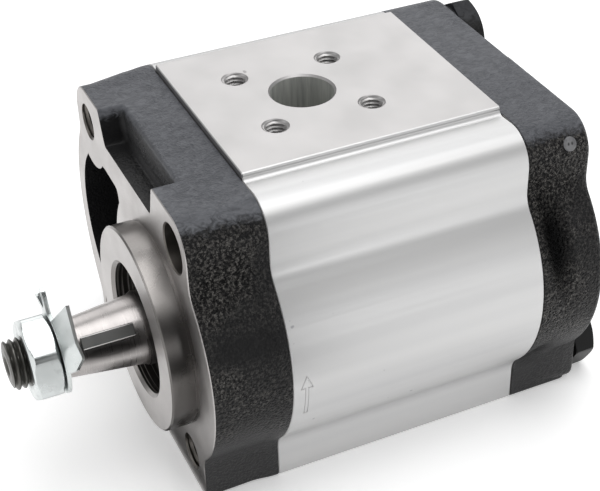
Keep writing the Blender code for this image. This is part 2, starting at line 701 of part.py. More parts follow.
def wide_tab(name, y0):
    """Tab of two facets, bent back by about forty degrees from the ring."""
    front = [(-5.0, 8.0, 0.0), (-5.4, 9.4, 0.0), (-6.5, 15.4, 3.1), (2.0, 14.1, 2.8), (5.4, 12.3, 3.6),
             (7.2, 7.8, 0.5), (6.4, 6.6, 0.0)]
    bm = bmesh.new()
    low = [bm.verts.new((across, y0 + back, out)) for across, out, back in front]
    high = [bm.verts.new((across, y0 + back + WASHER_THICK, out - 0.3 * min(1.0, back)))
            for across, out, back in front]
    middle = (1.8, 9.8, 0.25)
    low_mid = bm.verts.new((middle[0], y0 + middle[2], middle[1]))
    high_mid = bm.verts.new((middle[0], y0 + middle[2] + WASHER_THICK, middle[1]))
    count = len(front)
    for i in range(count):
        j = (i + 1) % count
        bm.faces.new((low[i], low[j], high[j], high[i]))
    for ring, mid in ((low, low_mid), (high, high_mid)):
        bm.faces.new((ring[1], ring[2], ring[3], mid))
        bm.faces.new((mid, ring[3], ring[4], ring[5]))
        bm.faces.new((ring[0], ring[1], mid, ring[5], ring[6]))
    bmesh.ops.triangulate(bm, faces=bm.faces)
    place_on_shaft(bm, math.radians(50.0))
    return finish(name, bm, None)


def forked_tab(name, y0, y1):
    """Narrow radial tab with a slot: one long prong in the washer's plane, one short prong bent forward."""
    outline = [(-2.2, 8.2, 0.0), (2.0, 8.2, 0.0), (2.0, 15.2, 0.0), (1.3, 15.9, 0.0), (0.4, 15.2, 0.0),
               (0.2, 10.8, 0.0), (-0.4, 10.8, 0.0), (-0.6, 13.9, 1.0), (-1.4, 14.2, 1.1), (-2.2, 13.7, 1.0),
               (-2.2, 10.4, 0.0)]
    bm = bmesh.new()
    low = [bm.verts.new((across, y0 - forward, out)) for across, out, forward in outline]
    high = [bm.verts.new((across, y1 - forward, out)) for across, out, forward in outline]
    count = len(outline)
    for i in range(count):
        j = (i + 1) % count
        bm.faces.new((low[i], low[j], high[j], high[i]))
    for ring in (low, high):
        bm.faces.new(ring[:7] + ring[10:])
        bm.faces.new(ring[6:])
    bmesh.ops.triangulate(bm, faces=bm.faces)
    place_on_shaft(bm, math.radians(116.0))
    return finish(name, bm, None)


def make_dowels(mat):
    for joint, joint_y in (("front", JOINT_FRONT_Y), ("rear", JOINT_REAR_Y)):
        for place, (x, z) in zip(("upper", "lower"), dowel_places()):
            profile = [(2.1, joint_y - 5.9), (2.5, joint_y - 5.4), (2.5, joint_y + 5.4), (2.1, joint_y + 5.9)]
            lathe("dowel_pin_%s_%s" % (joint, place), profile, 12, x, z, mat)


# ---------------------------------------------------------------- assembly

def main():
    clear_scene()
    black_cast = material("black_cast", (0.035, 0.036, 0.037), 0.55, 0.2)
    aluminium = material("aluminium", (0.72, 0.71, 0.70), 0.32, 1.0)
    ground_steel = material("ground_steel", (0.46, 0.44, 0.43), 0.28, 1.0)
    zinc = material("zinc", (0.62, 0.66, 0.68), 0.3, 1.0)
    dark_steel = material("dark_steel", (0.05, 0.05, 0.05), 0.45, 0.8)
    bearing_alloy = material("bearing_alloy", (0.55, 0.53, 0.5), 0.4, 1.0)
    bronze = material("bronze", (0.42, 0.27, 0.13), 0.4, 1.0)
    rubber = material("rubber", (0.02, 0.02, 0.02), 0.7, 0.0)
    nylon = material("nylon", (0.75, 0.72, 0.62), 0.5, 0.0)

    make_front_cover(black_cast)
    make_pump_body(aluminium)
    make_rear_cover(black_cast)

    block_front = (JOINT_FRONT_Y + GAP, GEAR_MIN_Y - GAP)
    block_rear = (GEAR_MAX_Y + GAP, JOINT_REAR_Y - GAP)
    groove = 2.1
    make_bearing_block("front_bearing_block", *block_front, (block_front[0] - 1, block_front[0] + groove),
                       bearing_alloy)
    make_bearing_block("rear_bearing_block", *block_rear, (block_rear[1] - groove, block_rear[1] + 1),
                       bearing_alloy)
    for place, (y0, y1) in (("front", block_front), ("rear", block_rear)):
        make_bush("%s_drive_bush" % place, 1, y0 + GAP, y1 - GAP, bronze)
        make_bush("%s_driven_bush" % place, -1, y0 + GAP, y1 - GAP, bronze)
    for place, y0 in (("front", block_front[0] + GAP), ("rear", block_rear[1] - GAP - 1.5)):
        prism("%s_axial_seal" % place, strip_outline(13.8, 2.1), y0, y0 + 1.5, rubber)
        prism("%s_backup_ring" % place, strip_outline(16.2, 1.6), y0, y0 + 1.5, nylon)
    make_case_seal("front_case_seal", JOINT_FRONT_Y - GAP - 1.4, JOINT_FRONT_Y - GAP, rubber)
    make_case_seal("rear_case_seal", JOINT_REAR_Y + GAP, JOINT_REAR_Y + GAP + 1.4, rubber)

    make_shaft_seal(rubber, dark_steel)
    make_retaining_ring(dark_steel)

    make_drive_gear_shaft(ground_steel)
    make_driven_gear_shaft(ground_steel)
    key_solid("woodruff_key", 0.0, 0.0, 0.0, dark_steel)
    make_shaft_nut(zinc)
    make_lock_washer(zinc)
    make_clamp_bolt("clamp_bolt_upper", HOLE_MIN_X, HOLE_HIGH_Z, REAR_Y, math.radians(30.0), dark_steel)
    make_clamp_bolt("clamp_bolt_lower", HOLE_MAX_X, HOLE_LOW_Z, LOW_BOSS_Y, 0.0, dark_steel)
    make_dowels(dark_steel)


main()
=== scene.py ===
"""Looks of the hydraulic gear pump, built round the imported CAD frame.

Meshes are made in millimetres in the frame's own axes: X runs across the two
gears with the drive shaft at +X, Y along the shafts with the drive end towards
-Y, and Z up. finish_mesh() turns them into metres.
"""
from math import acos, asin, atan, atan2, copysign, cos, degrees, exp, hypot, pi, radians, sin, sqrt

import bmesh
import bpy
from mathutils import Matrix, Vector


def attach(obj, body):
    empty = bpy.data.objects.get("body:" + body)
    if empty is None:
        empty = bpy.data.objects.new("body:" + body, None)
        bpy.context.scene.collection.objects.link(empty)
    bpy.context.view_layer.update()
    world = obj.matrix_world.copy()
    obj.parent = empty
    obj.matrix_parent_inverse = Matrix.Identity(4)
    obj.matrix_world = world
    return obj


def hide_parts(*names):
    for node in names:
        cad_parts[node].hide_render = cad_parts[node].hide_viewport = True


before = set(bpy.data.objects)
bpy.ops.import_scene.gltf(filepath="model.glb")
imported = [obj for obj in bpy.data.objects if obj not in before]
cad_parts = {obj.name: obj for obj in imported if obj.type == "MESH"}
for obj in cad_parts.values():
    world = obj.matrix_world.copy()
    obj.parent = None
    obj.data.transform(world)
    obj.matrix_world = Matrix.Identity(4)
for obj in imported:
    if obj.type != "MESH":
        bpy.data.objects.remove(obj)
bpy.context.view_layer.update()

MM = 0.001

# Stations along the shafts (Y), drawn from the gears' datum; CENTRE_Y moves them into the frame.
CENTRE_Y = -1.175
SHAFT_TIP_Y = -72.25
NUT_FRONT_Y = -68.1
NUT_BACK_Y = -61.3
WASHER_Y = -61.0
WASHER_THICK = 1.0
TAPER_SMALL_Y = -59.4
TAPER_LARGE_Y = -41.5
PILOT_FRONT_Y = -41.6
FLANGE_Y = -35.0
COVER_BACK_Y = -16.22
BODY_FRONT_Y = -16.1
BODY_BACK_Y = 49.4
REAR_FRONT_Y = 49.52
REAR_Y = 66.5
REAR_RECESS_Y = 65.4
LOW_BOSS_Y = 67.9

# Shaft axes, and the housing outline on both sides of X = 0.
AXIS_X = 16.5
AXIS_Z = 38.3
PORT_FACE_Z = 79.5
SHOULDER_Z = 77.9
WALL_X = 40.0
FOOT_X = 39.6
CORNER_R = 8.2
LOBE_X = 17.6
LOBE_Z = 37.0
LOBE_R = 33.1
FILLET_R = 7.0
FLANGE_FAR_WALL_X = 37.8
FLANGE_FAR_LOBE_X = 3.3
FLANGE_FAR_LOBE_R = 43.0
PAD_MIN_X = -29.8
PAD_MAX_X = 25.8

# Ports, holes and bolts.
PORT_X = -2.0
PORT_Y = 11.1
PRESSURE_R = 7.7
PRESSURE_PITCH = 35.0 / 2 / sqrt(2)
SUCTION_R = 10.0
SUCTION_PITCH = 40.0 / 2 / sqrt(2)
HOLE_MIN_X = -29.0
HOLE_MAX_X = 31.0
HOLE_LOW_Z = 8.7
HOLE_HIGH_Z = 68.7
THROUGH_R = 5.75
CLAMP_HOLE_R = 5.3
PILOT_R = 25.0
SEAL_BORE_R = 16.0
CHAMBER_R = 19.6
SEAL_FLOOR_Y = -26.6
SHAFT_PASS_R = 10.6
POCKET_DEPTH = 9.5
HEAD_ACROSS = 17.0
HEAD_HEIGHT = 6.4

# Shaft end.
NUT_ACROSS = 18.8
THREAD_MINOR_R = 5.1
THREAD_MAJOR_R = 5.95
THREAD_PITCH = 1.5
KEY_ANGLE = 40.0
KEY_CENTRE_Y = -49.7


# ---------------------------------------------------------------- outlines

def arc(cx, cz, radius, start, end, steps):
    """Points of an arc in degrees, both ends included."""
    points = []
    for i in range(steps + 1):
        angle = radians(start + (end - start) * i / steps)
        points.append((cx + radius * cos(angle), cz + radius * sin(angle)))
    return points


def offset_outline(points, distance):
    """Closed outline grown by distance, with mitred corners."""
    count = len(points)
    area = sum(points[i - 1][0] * points[i][1] - points[i][0] * points[i - 1][1] for i in range(count))
    side = 1.0 if area > 0 else -1.0
    grown = []
    for i in range(count):
        before = Vector(points[i - 1])
        here = Vector(points[i])
        after = Vector(points[(i + 1) % count])
        first = (here - before).normalized()
        second = (after - here).normalized()
        normal = Vector((first.y + second.y, -first.x - second.x)) * side
        normal.normalize()
        cosine = max(0.35, normal.dot(Vector((first.y, -first.x)) * side))
        moved = here + normal * (distance / cosine)
        grown.append((moved.x, moved.y))
    return grown


def side_profile(wall, foot, lobe_x, lobe_r, top):
    """Right half of the housing outline from the bottom to the top, as (x, z)."""
    reach = lobe_r + FILLET_R
    up_x = wall + FILLET_R
    up_z = LOBE_Z + sqrt(reach ** 2 - (up_x - lobe_x) ** 2)
    down_x = foot + FILLET_R
    down_z = LOBE_Z - sqrt(reach ** 2 - (down_x - lobe_x) ** 2)
    up_angle = degrees(atan2(up_z - LOBE_Z, up_x - lobe_x))
    down_angle = degrees(atan2(down_z - LOBE_Z, down_x - lobe_x))
    points = arc(foot - 0.9, 0.9, 0.9, -90.0, 0.0, 4)
    points += arc(down_x, down_z, FILLET_R, 180.0, 180.0 + down_angle, 10)
    points += arc(lobe_x, LOBE_Z, lobe_r, down_angle, up_angle, 56)[1:]
    points += arc(up_x, up_z, FILLET_R, 180.0 + up_angle, 180.0, 10)[1:]
    points += arc(wall - CORNER_R, top - CORNER_R, CORNER_R, 0.0, 90.0, 16)
    return points


def housing_outline(inset=0.0):
    """Closed outline, the same on both sides; inset shrinks it all round."""
    near = side_profile(WALL_X - inset, FOOT_X - inset, LOBE_X, LOBE_R - inset, SHOULDER_Z - inset)
    near = [(x, max(z, inset)) for x, z in near]
    return near + [(-x, z) for x, z in reversed(near)]


def flange_outline(inset):
    """Outline of the flange face, narrower on the side of the driven gear."""
    near = side_profile(WALL_X - inset, FOOT_X - inset, LOBE_X, LOBE_R - inset, SHOULDER_Z - inset)
    far = side_profile(FLANGE_FAR_WALL_X, FLANGE_FAR_WALL_X, FLANGE_FAR_LOBE_X, FLANGE_FAR_LOBE_R,
                       SHOULDER_Z - inset)
    return near + [(-x, z) for x, z in reversed(far)]


def figure_eight(radius, steps):
    """Outline of two overlapping circles about the gear axes."""
    half = degrees(acos(AXIS_X / radius))
    right = arc(AXIS_X, AXIS_Z, radius, -180.0 + half, 180.0 - half, steps)
    left = arc(-AXIS_X, AXIS_Z, radius, half, 360.0 - half, steps)
    return right[:-1] + left[:-1]


def quarter(steps):
    """(1 - sine, 1 - cosine) along a quarter turn, for fillets and rounded edges."""
    turns = [radians(90.0 * i / steps) for i in range(steps + 1)]
    return [(1 - sin(t), 1 - cos(t)) for t in turns]


# ---------------------------------------------------------------- meshes

def finish_mesh(name, bm, mats=(), smooth_angle=32.0):
    """Turn a bmesh in drawing millimetres into an object in the frame's metres."""
    bmesh.ops.recalc_face_normals(bm, faces=bm.faces)
    bmesh.ops.translate(bm, vec=Vector((0.0, CENTRE_Y, 0.0)), verts=bm.verts)
    bmesh.ops.scale(bm, vec=Vector((MM, MM, MM)), verts=bm.verts)
    mesh = bpy.data.meshes.new(name)
    bm.to_mesh(mesh)
    bm.free()
    mesh.shade_smooth()
    mesh.set_sharp_from_angle(angle=radians(smooth_angle))
    obj = bpy.data.objects.new(name, mesh)
    for mat in mats:
        mesh.materials.append(mat)
    bpy.context.scene.collection.objects.link(obj)
    return obj


def skin_rings(bm, rings, closed):
    """Quads between neighbouring rings; end caps unless the rings close on themselves."""
    pairs = list(zip(rings[:-1], rings[1:]))
    if closed:
        pairs.append((rings[-1], rings[0]))
    count = len(rings[0])
    for low, high in pairs:
        for i in range(count):
            j = (i + 1) % count
            bm.faces.new((low[i], low[j], high[j], high[i]))
    if not closed:
        bm.faces.new(rings[0])
        bm.faces.new(rings[-1])


def loft(name, rings, mats=(), closed=False):
    """Solid through rings of points, all with the same number of points."""
    bm = bmesh.new()
    skin_rings(bm, [[bm.verts.new(point) for point in ring] for ring in rings], closed)
    return finish_mesh(name, bm, mats)


def loft_y(name, sections, mats=(), closed=False):
    """Loft along Y; each section is (y, [(x, z)...])."""
    return loft(name, [[(x, y, z) for x, z in outline] for y, outline in sections], mats, closed)


def loft_z(name, sections):
    """Loft along Z; each section is (z, [(x, y)...])."""
    return loft(name, [[(x, y, z) for x, y in outline] for z, outline in sections])


def turned(profile, steps, cu, cv, start=0.0):
    """Sections of a turned shape from (radius, station); a radius may be a function of the angle."""
    sections = []
    for radius, station in profile:
        ring = []
        for i in range(steps):
            angle = start + 2 * pi * i / steps
            r = radius(angle) if callable(radius) else radius
            ring.append((cu + r * cos(angle), cv + r * sin(angle)))
        sections.append((station, ring))
    return sections


def turn_y(name, profile, steps, cx, cz, mats=(), closed=False, start=0.0):
    return loft_y(name, turned(profile, steps, cx, cz, start), mats, closed)


def turn_z(name, profile, steps, cx, cy):
    return loft_z(name, turned(profile, steps, cx, cy))


def apply_modifiers(obj):
    depsgraph = bpy.context.evaluated_depsgraph_get()
    depsgraph.update()
    mesh = bpy.data.meshes.new_from_object(obj.evaluated_get(depsgraph))
    obj.modifiers.clear()
    old = obj.data
    obj.data = mesh
    bpy.data.meshes.remove(old)


def combine(target, tool, operation):
    modifier = target.modifiers.new(operation, "BOOLEAN")
    modifier.operation = operation
    modifier.solver = "EXACT"
    modifier.object = tool
    apply_modifiers(target)
    bpy.data.objects.remove(tool, do_unlink=True)


def cut(target, tool):
    combine(target, tool, "DIFFERENCE")


def join(target, tool):
    combine(target, tool, "UNION")


def polish(obj, smooth_angle=32.0):
    """Weld slivers, mark sharp edges and let the large flat faces set the normals."""
    bm = bmesh.new()
    bm.from_mesh(obj.data)
    bmesh.ops.remove_doubles(bm, verts=bm.verts, dist=0.000004)
    bmesh.ops.dissolve_degenerate(bm, edges=bm.edges, dist=0.000004)
    bm.to_mesh(obj.data)
    bm.free()
    obj.data.shade_smooth()
    obj.data.set_sharp_from_angle(angle=radians(smooth_angle))
    modifier = obj.modifiers.new("normals", "WEIGHTED_NORMAL")
    modifier.keep_sharp = True
    apply_modifiers(obj)


def soften(obj, width, segments=2, angle=30.0):
    """Round the hard edges of a simple piece."""
    modifier = obj.modifiers.new("edges", "BEVEL")
    modifier.width = width * MM
    modifier.segments = segments
    modifier.limit_method = "ANGLE"
    modifier.angle_limit = radians(angle)
    modifier.use_clamp_overlap = True
    apply_modifiers(obj)


def paint_faces(obj, choose):
    """Give each face the material index that choose(centre, normal) returns, in millimetres."""
    for polygon in obj.data.polygons:
        centre = polygon.center / MM - Vector((0.0, CENTRE_Y, 0.0))
        polygon.material_index = choose(centre, polygon.normal)


def place(obj, body, slot, *nodes):
    """The piece rides on a body and stands for its CAD nodes, which are hidden; slot is not used."""
    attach(obj, body)
    if nodes:
        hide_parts(*nodes)


def seal_groove(y0, y1):
    """Cutter of the case seal's groove round both gears."""
    outer = figure_eight(23.1, 40)
    inner = figure_eight(20.9, 40)
    return loft_y("groove_cut", [(y0, outer), (y1, outer), (y1, inner), (y0, inner)], closed=True)


# ---------------------------------------------------------------- materials

def tinted(colour, factor):
    return tuple(min(1.0, c * factor) for c in colour)


class Surface:
    """A node material with short calls for the nodes used here. Texture scales are per metre."""

    def __init__(self, name, metallic, roughness, colour):
        self.mat = bpy.data.materials.new(name)
        self.mat.use_nodes = True
        self.tree = self.mat.node_tree
        self.shader = self.tree.nodes["Principled BSDF"]
        self.put(self.shader, {"Metallic": metallic, "Roughness": roughness, "Base Color": (*colour, 1.0)})
        self.position = self.add("TexCoord", "Object", {})
        self.normal = None

    def put(self, node, values):
        """Set a node's inputs, or link those whose value is another node's output."""
        for key, value in values.items():
            if isinstance(value, bpy.types.NodeSocket):
                self.tree.links.new(value, node.inputs[key])
            else:
                node.inputs[key].default_value = value

    def add(self, kind, output, values, **settings):
        """Add a node and return one of its outputs."""
        node = self.tree.nodes.new("ShaderNode" + kind)
        for key, value in settings.items():
            setattr(node, key, value)
        self.put(node, values)
        return node.outputs[output]

    def stretch(self, scale, shift=(0.0, 0.0, 0.0)):
        return self.add("Mapping", "Vector", {"Vector": self.position, "Scale": scale, "Location": shift})

    def noise(self, scale, detail=2.0, vector=None, rough=0.5, distortion=0.0):
        return self.add("TexNoise", "Fac", {"Vector": vector or self.position, "Scale": scale,
                                            "Detail": detail, "Roughness": rough, "Distortion": distortion})

    def cells(self, scale):
        values = {"Vector": self.position, "Scale": scale, "Smoothness": 0.6}
        return self.add("TexVoronoi", "Distance", values, feature="SMOOTH_F1")

    def ramp(self, factor, low, high, out_low=0.0, out_high=1.0):
        return self.add("MapRange", "Result", {"Value": factor, "From Min": low, "From Max": high,
                                               "To Min": out_low, "To Max": out_high})

    def math(self, operation, first, second):
        return self.add("Math", "Value", {0: first, 1: second}, operation=operation)

    def times(self, first, second):
        return self.math("MULTIPLY", first, second)

    def blend(self, factor, first, second):
        """Colour between two colours by a factor."""
        first, second = [(*c, 1.0) if isinstance(c, tuple) else c for c in (first, second)]
        return self.add("Mix", 2, {"Factor": factor, 6: first, 7: second}, data_type="RGBA")

    def axis(self, name):
        return self.add("SeparateXYZ", name, {"Vector": self.position})

    def spot(self, centre, reach):
        """1 at a place in the frame, in millimetres, falling to 0 at the edge of an ellipsoid."""
        scale = tuple(1.0 / (r * MM) for r in reach)
        shift = tuple(-c * MM * k for c, k in zip(centre, scale))
        length = self.add("VectorMath", "Value", {0: self.stretch(scale, shift)}, operation="LENGTH")
        return self.ramp(length, 1.0, 0.35)

    def rings(self, pitch, cx, cz):
        """Concentric turning marks about an axis along Y, as a height from 0 to 1."""
        vector = self.stretch((1.0, 1.0, 1.0), (-cx * MM, 0.0, -cz * MM))
        return self.add("TexWave", "Fac", {"Vector": vector, "Scale": 2 * pi / (20.0 * pitch),
                                           "Distortion": 0.6, "Detail": 1.0, "Detail Scale": 0.6},
                        wave_type="RINGS", rings_direction="Y", wave_profile="SIN")

    def bump(self, height, distance, strength=1.0):
        """Add a height in metres; calls stack."""
        values = {"Height": height, "Distance": distance, "Strength": strength}
        if self.normal is not None:
            values["Normal"] = self.normal
        self.normal = self.add("Bump", "Normal", values)
        self.put(self.shader, {"Normal": self.normal})

    def colour(self, output):
        self.put(self.shader, {"Base Color": output})

    def gloss(self, height, smooth, rough, low=0.3, high=0.7):
        """Roughness from smooth to rough as a height goes from low to high."""
        self.put(self.shader, {"Roughness": self.ramp(height, low, high, smooth, rough)})


def cast_paint(name, grain_and_glints=1.0, ripple=1.0, shade=1.0):
    """Black paint over a sand casting: painted glints as light flecks on the flanks, a bluish rippled top
    with a painted sheen, painted floor light towards the foot, a painted highlight on the notch's back wall
    and painted shade in the flank hollows.
    """
    s = Surface(name, 0.0, 0.4, (0.01, 0.01, 0.01))
    s.put(s.shader, {"Specular IOR Level": 0.13})
    patches = s.ramp(s.noise(45.0, 2.0), 0.42, 0.55, 0.2, 1.0)
    low_mask = s.ramp(s.axis("Z"), 0.020, 0.034, 0.10, 1.0)
    high_mask = s.ramp(s.axis("Z"), 0.0735, 0.0768, 1.0, 0.12)
    band = s.ramp(s.spot((46.0, -26.0, 49.5), (30.0, 24.0, 5.5)), 0.0, 1.0, 1.0, 0.2)
    mask = s.times(s.times(patches, low_mask), s.times(high_mask, band))
    sand = s.math("SUBTRACT", s.noise(1500.0, 3.0, rough=0.7), s.cells(1700.0))
    ripples = s.noise(1.0, 3.0, s.stretch((640.0, 400.0, 640.0)), 0.6, 1.2)
    s.bump(ripples, 0.0004 * ripple, 0.7)
    s.bump(s.times(sand, mask), 0.0020 * grain_and_glints, 1.0)
    # Painted glints: light flecks where the sand grain shows stand in for the sparkle of the rough paint.
    painted_glints = s.times(s.ramp(s.noise(1400.0, 3.0, rough=0.8), 0.47, 0.67), mask)
    # Painted sheen: above the shoulder the paint turns lighter and bluish, standing for the overhead light on
    # the top.
    top = s.ramp(s.math("ADD", s.axis("Z"), s.times(ripples, 0.004)), 0.0768, 0.0784)
    # Painted floor light: the flanks' paint is lighter towards the foot.
    foot = s.ramp(s.axis("Z"), 0.030, 0.016)
    tone = s.blend(foot, tinted((0.011, 0.011, 0.0115), shade), tinted((0.036, 0.036, 0.037), shade))
    tone = s.blend(s.times(painted_glints, grain_and_glints), tone, (0.215, 0.205, 0.192))
    painted_top_sheen = s.blend(s.ramp(ripples, 0.36, 0.64), tinted((0.076, 0.079, 0.088), shade),
                       tinted((0.120, 0.124, 0.136), shade))
    tone = s.blend(top, tone, painted_top_sheen)
    # Painted shade: the two cast hollows in the rear cover's near flank are near black.
    tall = s.spot((46.0, 53.0, 51.0), (10.0, 5.2, 19.0))
    small = s.spot((43.0, 52.0, 16.0), (9.0, 5.5, 8.0))
    # Painted highlight: the back wall of the notch in the flange's top is lightened.
    notch_wall_highlight = s.spot((1.0, -30.2, 73.0), (26.0, 2.2, 5.5))
    tone = s.blend(notch_wall_highlight, tone, (0.075, 0.075, 0.077))
    s.colour(s.blend(s.math("MAXIMUM", tall, small), tone, (0.0015, 0.0015, 0.0016)))
    s.gloss(s.math("ADD", s.noise(700.0, 2.0), mask), 0.42, 0.26, 0.4, 1.6)
    return s.mat


def machined_iron(name, roughness, colour, pilot_shade_strength=0.0):
    """Turned grey iron, with marks round the drive shaft's axis and painted shade low on the pilot's wall."""
    s = Surface(name, 1.0, roughness, colour)
    s.bump(s.rings(0.00045, AXIS_X, AXIS_Z), 0.000006, 0.5)
    s.bump(s.noise(2600.0, 2.0), 0.00001, 0.35)
    mottle = s.ramp(s.math("ADD", s.noise(60.0, 3.0), s.times(s.noise(2200.0, 1.0), 0.3)), 0.4, 0.95)
    # Painted shade: darkens the lower near side of the pilot's wall towards near black.
    painted_pilot_shade = s.times(s.spot((40.0, -39.5, 30.0), (20.0, 7.0, 30.0)), pilot_shade_strength)
    s.colour(s.blend(painted_pilot_shade, s.blend(mottle, colour, tinted(colour, 0.80)), (0.02, 0.018, 0.016)))
    s.gloss(s.noise(140.0, 3.0), roughness - 0.05, roughness + 0.07)
    return s.mat


def ringed_bore(name):
    """Seal bore, darkened as painted shade, with a few turned rings made bright as painted highlights."""
    s = Surface(name, 1.0, 0.34, (0.10, 0.095, 0.09))
    rings = s.noise(1.0, 2.0, s.stretch((12.0, 1500.0, 12.0)), 0.6)
    s.bump(rings, 0.00003, 0.4)
    # Painted shade and highlights: a dark bore colour with bright lines on the rings.
    s.colour(s.blend(s.ramp(rings, 0.56, 0.64), (0.07, 0.066, 0.062), (0.62, 0.60, 0.58)))
    s.gloss(rings, 0.28, 0.38)
    return s.mat


def drawn_aluminium(name):
    """Extruded aluminium: faint die lines along Y and soft bands between them."""
    s = Surface(name, 1.0, 0.4, (0.58, 0.58, 0.58))
    lines = s.noise(1.0, 3.0, s.stretch((900.0, 9.0, 900.0)), 0.6)
    bands = s.noise(1.0, 2.0, s.stretch((120.0, 4.0, 120.0)))
    s.bump(lines, 0.00003, 0.22)
    s.bump(s.noise(1500.0, 2.0), 0.00001, 0.3)
    specks = s.ramp(s.noise(420.0, 1.0), 0.79, 0.83)
    tone = s.blend(s.ramp(bands, 0.3, 0.7), (0.60, 0.598, 0.595), (0.55, 0.55, 0.552))
    s.colour(s.blend(specks, tone, (0.36, 0.36, 0.37)))
    s.gloss(s.math("ADD", lines, bands), 0.40, 0.50, 0.7, 1.3)
    return s.mat


def milled_aluminium(name):
    """Fly-cut aluminium face: even satin with faint cutter sweeps."""
    s = Surface(name, 1.0, 0.42, (0.47, 0.46, 0.455))
    sweep = s.noise(1.0, 2.0, s.stretch((35.0, 700.0, 35.0)), 0.5, 0.2)
    s.bump(sweep, 0.00001, 0.3)
    s.bump(s.noise(2400.0, 2.0), 0.000012, 0.4)
    specks = s.ramp(s.noise(330.0, 1.0), 0.80, 0.83)
    tone = s.blend(s.ramp(s.noise(45.0, 3.0), 0.3, 0.7), (0.485, 0.474, 0.472), (0.450, 0.442, 0.439))
    s.colour(s.blend(specks, tone, (0.29, 0.28, 0.28)))
    s.gloss(s.noise(90.0, 2.0), 0.38, 0.46)
    return s.mat


def bored_aluminium(name):
    """Bored port wall: dull, and lighter than the body as painted light, with streaks of painted shade down
    the bore.
    """
    s = Surface(name, 0.55, 0.5, (0.80, 0.80, 0.78))
    streaks = s.noise(1.0, 3.0, s.stretch((900.0, 900.0, 60.0)), 0.6)
    s.bump(streaks, 0.00003, 0.4)
    # Painted light and shade: the port's wall is a lighter copy of the aluminium, streaked darker down the
    # bore.
    s.colour(s.blend(s.ramp(streaks, 0.35, 0.65), (0.62, 0.63, 0.60), (0.42, 0.43, 0.415)))
    s.gloss(streaks, 0.46, 0.56)
    return s.mat


def ground_steel(name, colour, roughness):
    """Steel ground between centres: fine rings along Y, and a painted dark reflection below the key."""
    s = Surface(name, 1.0, roughness, colour)
    rings = s.noise(1.0, 4.0, s.stretch((60.0, 5200.0, 60.0)), 0.7)
    s.bump(rings, 0.000003, 0.2)
    stain = s.ramp(s.noise(130.0, 4.0), 0.45, 0.8)
    # Painted reflection: a dark band along the shaft just below the key.
    painted_dark_reflection = s.times(s.spot((24.2, -51.0, 40.2), (5.0, 15.0, 2.9)), 0.9)
    s.colour(s.blend(painted_dark_reflection, s.blend(stain, colour, tinted(colour, 0.72)), (0.03, 0.028, 0.027)))
    s.gloss(rings, roughness - 0.05, roughness + 0.09)
    return s.mat


def marked_surface(name, colour, roughness, metallic, skin, marks, factor, patches, spread):
    """Surface with a fine skin, marks of a lighter or darker shade, and uneven gloss."""
    s = Surface(name, metallic, roughness, colour)
    s.bump(s.noise(*skin[:2]), *skin[2:])
    s.colour(s.blend(s.ramp(s.noise(*marks[:2]), *marks[2:]), colour, tinted(colour, factor)))
    s.gloss(s.noise(*patches), roughness - spread[0], roughness + spread[1])
    return s.mat


def plated_steel(name, colour, roughness):
    """Zinc plate: bright, slightly uneven, with small dull marks."""
    return marked_surface(name, colour, roughness, 1.0, (500.0, 3.0, 0.00003, 0.35),
                          (330.0, 4.0, 0.55, 0.75), 0.78, (240.0, 3.0), (0.04, 0.12))


def dark_metal(name, colour, roughness):
    """Blackened steel with a lighter rub here and there."""
    return marked_surface(name, colour, roughness, 0.85, (900.0, 3.0, 0.00002, 0.4),
                          (260.0, 4.0, 0.60, 0.80), 2.4, (420.0, 2.0), (0.06, 0.10))


def moulded(name, colour, roughness):
    """Rubber or plastic with a fine matt skin."""
    return marked_surface(name, colour, roughness, 0.0, (1800.0, 2.0, 0.00002, 0.5),
                          (300.0, 3.0, 0.35, 0.7), 0.7, (700.0, 2.0), (0.05, 0.05))


def pip_paint(name):
    """Worn paint on the pip, with two punched dots."""
    s = Surface(name, 0.0, 0.5, (0.13, 0.13, 0.135))
    s.bump(s.noise(900.0, 3.0), 0.00004, 0.5)
    size = (1.0, 0.34, 0.5)
    dots = s.math("MAXIMUM", s.spot((39.4, 58.95, 73.6), size), s.spot((39.4, 59.9, 73.6), size))
    worn = s.blend(s.ramp(s.noise(600.0, 3.0), 0.4, 0.7), (0.16, 0.16, 0.165), (0.07, 0.07, 0.075))
    s.colour(s.blend(dots, worn, (0.005, 0.005, 0.005)))
    s.gloss(s.noise(700.0, 2.0), 0.45, 0.6)
    return s.mat


PAINT = cast_paint("black_cast_paint")
SMOOTH_PAINT = cast_paint("black_smooth_paint", 0.03, 0.7, 1.0)
BOLT_PAINT = cast_paint("black_bolt_paint", 0.05, 0.1, 0.3)
IRON_FACE = machined_iron("machined_iron_face", 0.42, (0.55, 0.53, 0.52))
# IRON_TURNED and IRON_BORE are darker copies of the machined face: painted shade on the pilot and in the bolt
# holes.
IRON_TURNED = machined_iron("machined_iron_turned", 0.30, (0.30, 0.285, 0.275), 0.7)
IRON_BORE = machined_iron("machined_iron_bore", 0.45, (0.20, 0.185, 0.17))
IRON_DARK = ringed_bore("ringed_seal_bore")
ALUMINIUM = drawn_aluminium("extruded_aluminium")
MILLED = milled_aluminium("milled_aluminium")
BORED = bored_aluminium("bored_aluminium")
STEEL = ground_steel("ground_shaft_steel", (0.47, 0.445, 0.435), 0.29)
THREAD = dark_metal("thread_steel", (0.10, 0.098, 0.09), 0.36)
KEY_STEEL = dark_metal("key_steel", (0.20, 0.20, 0.195), 0.36)
ZINC = plated_steel("zinc_plate", (0.66, 0.69, 0.685), 0.28)
BRIGHT_STEEL = ground_steel("bright_steel", (0.58, 0.57, 0.56), 0.3)
ALLOY = machined_iron("bearing_alloy", 0.4, (0.62, 0.61, 0.58))
BRONZE = ground_steel("bush_bronze", (0.55, 0.36, 0.17), 0.35)
RUBBER = moulded("seal_rubber", (0.018, 0.018, 0.018), 0.6)
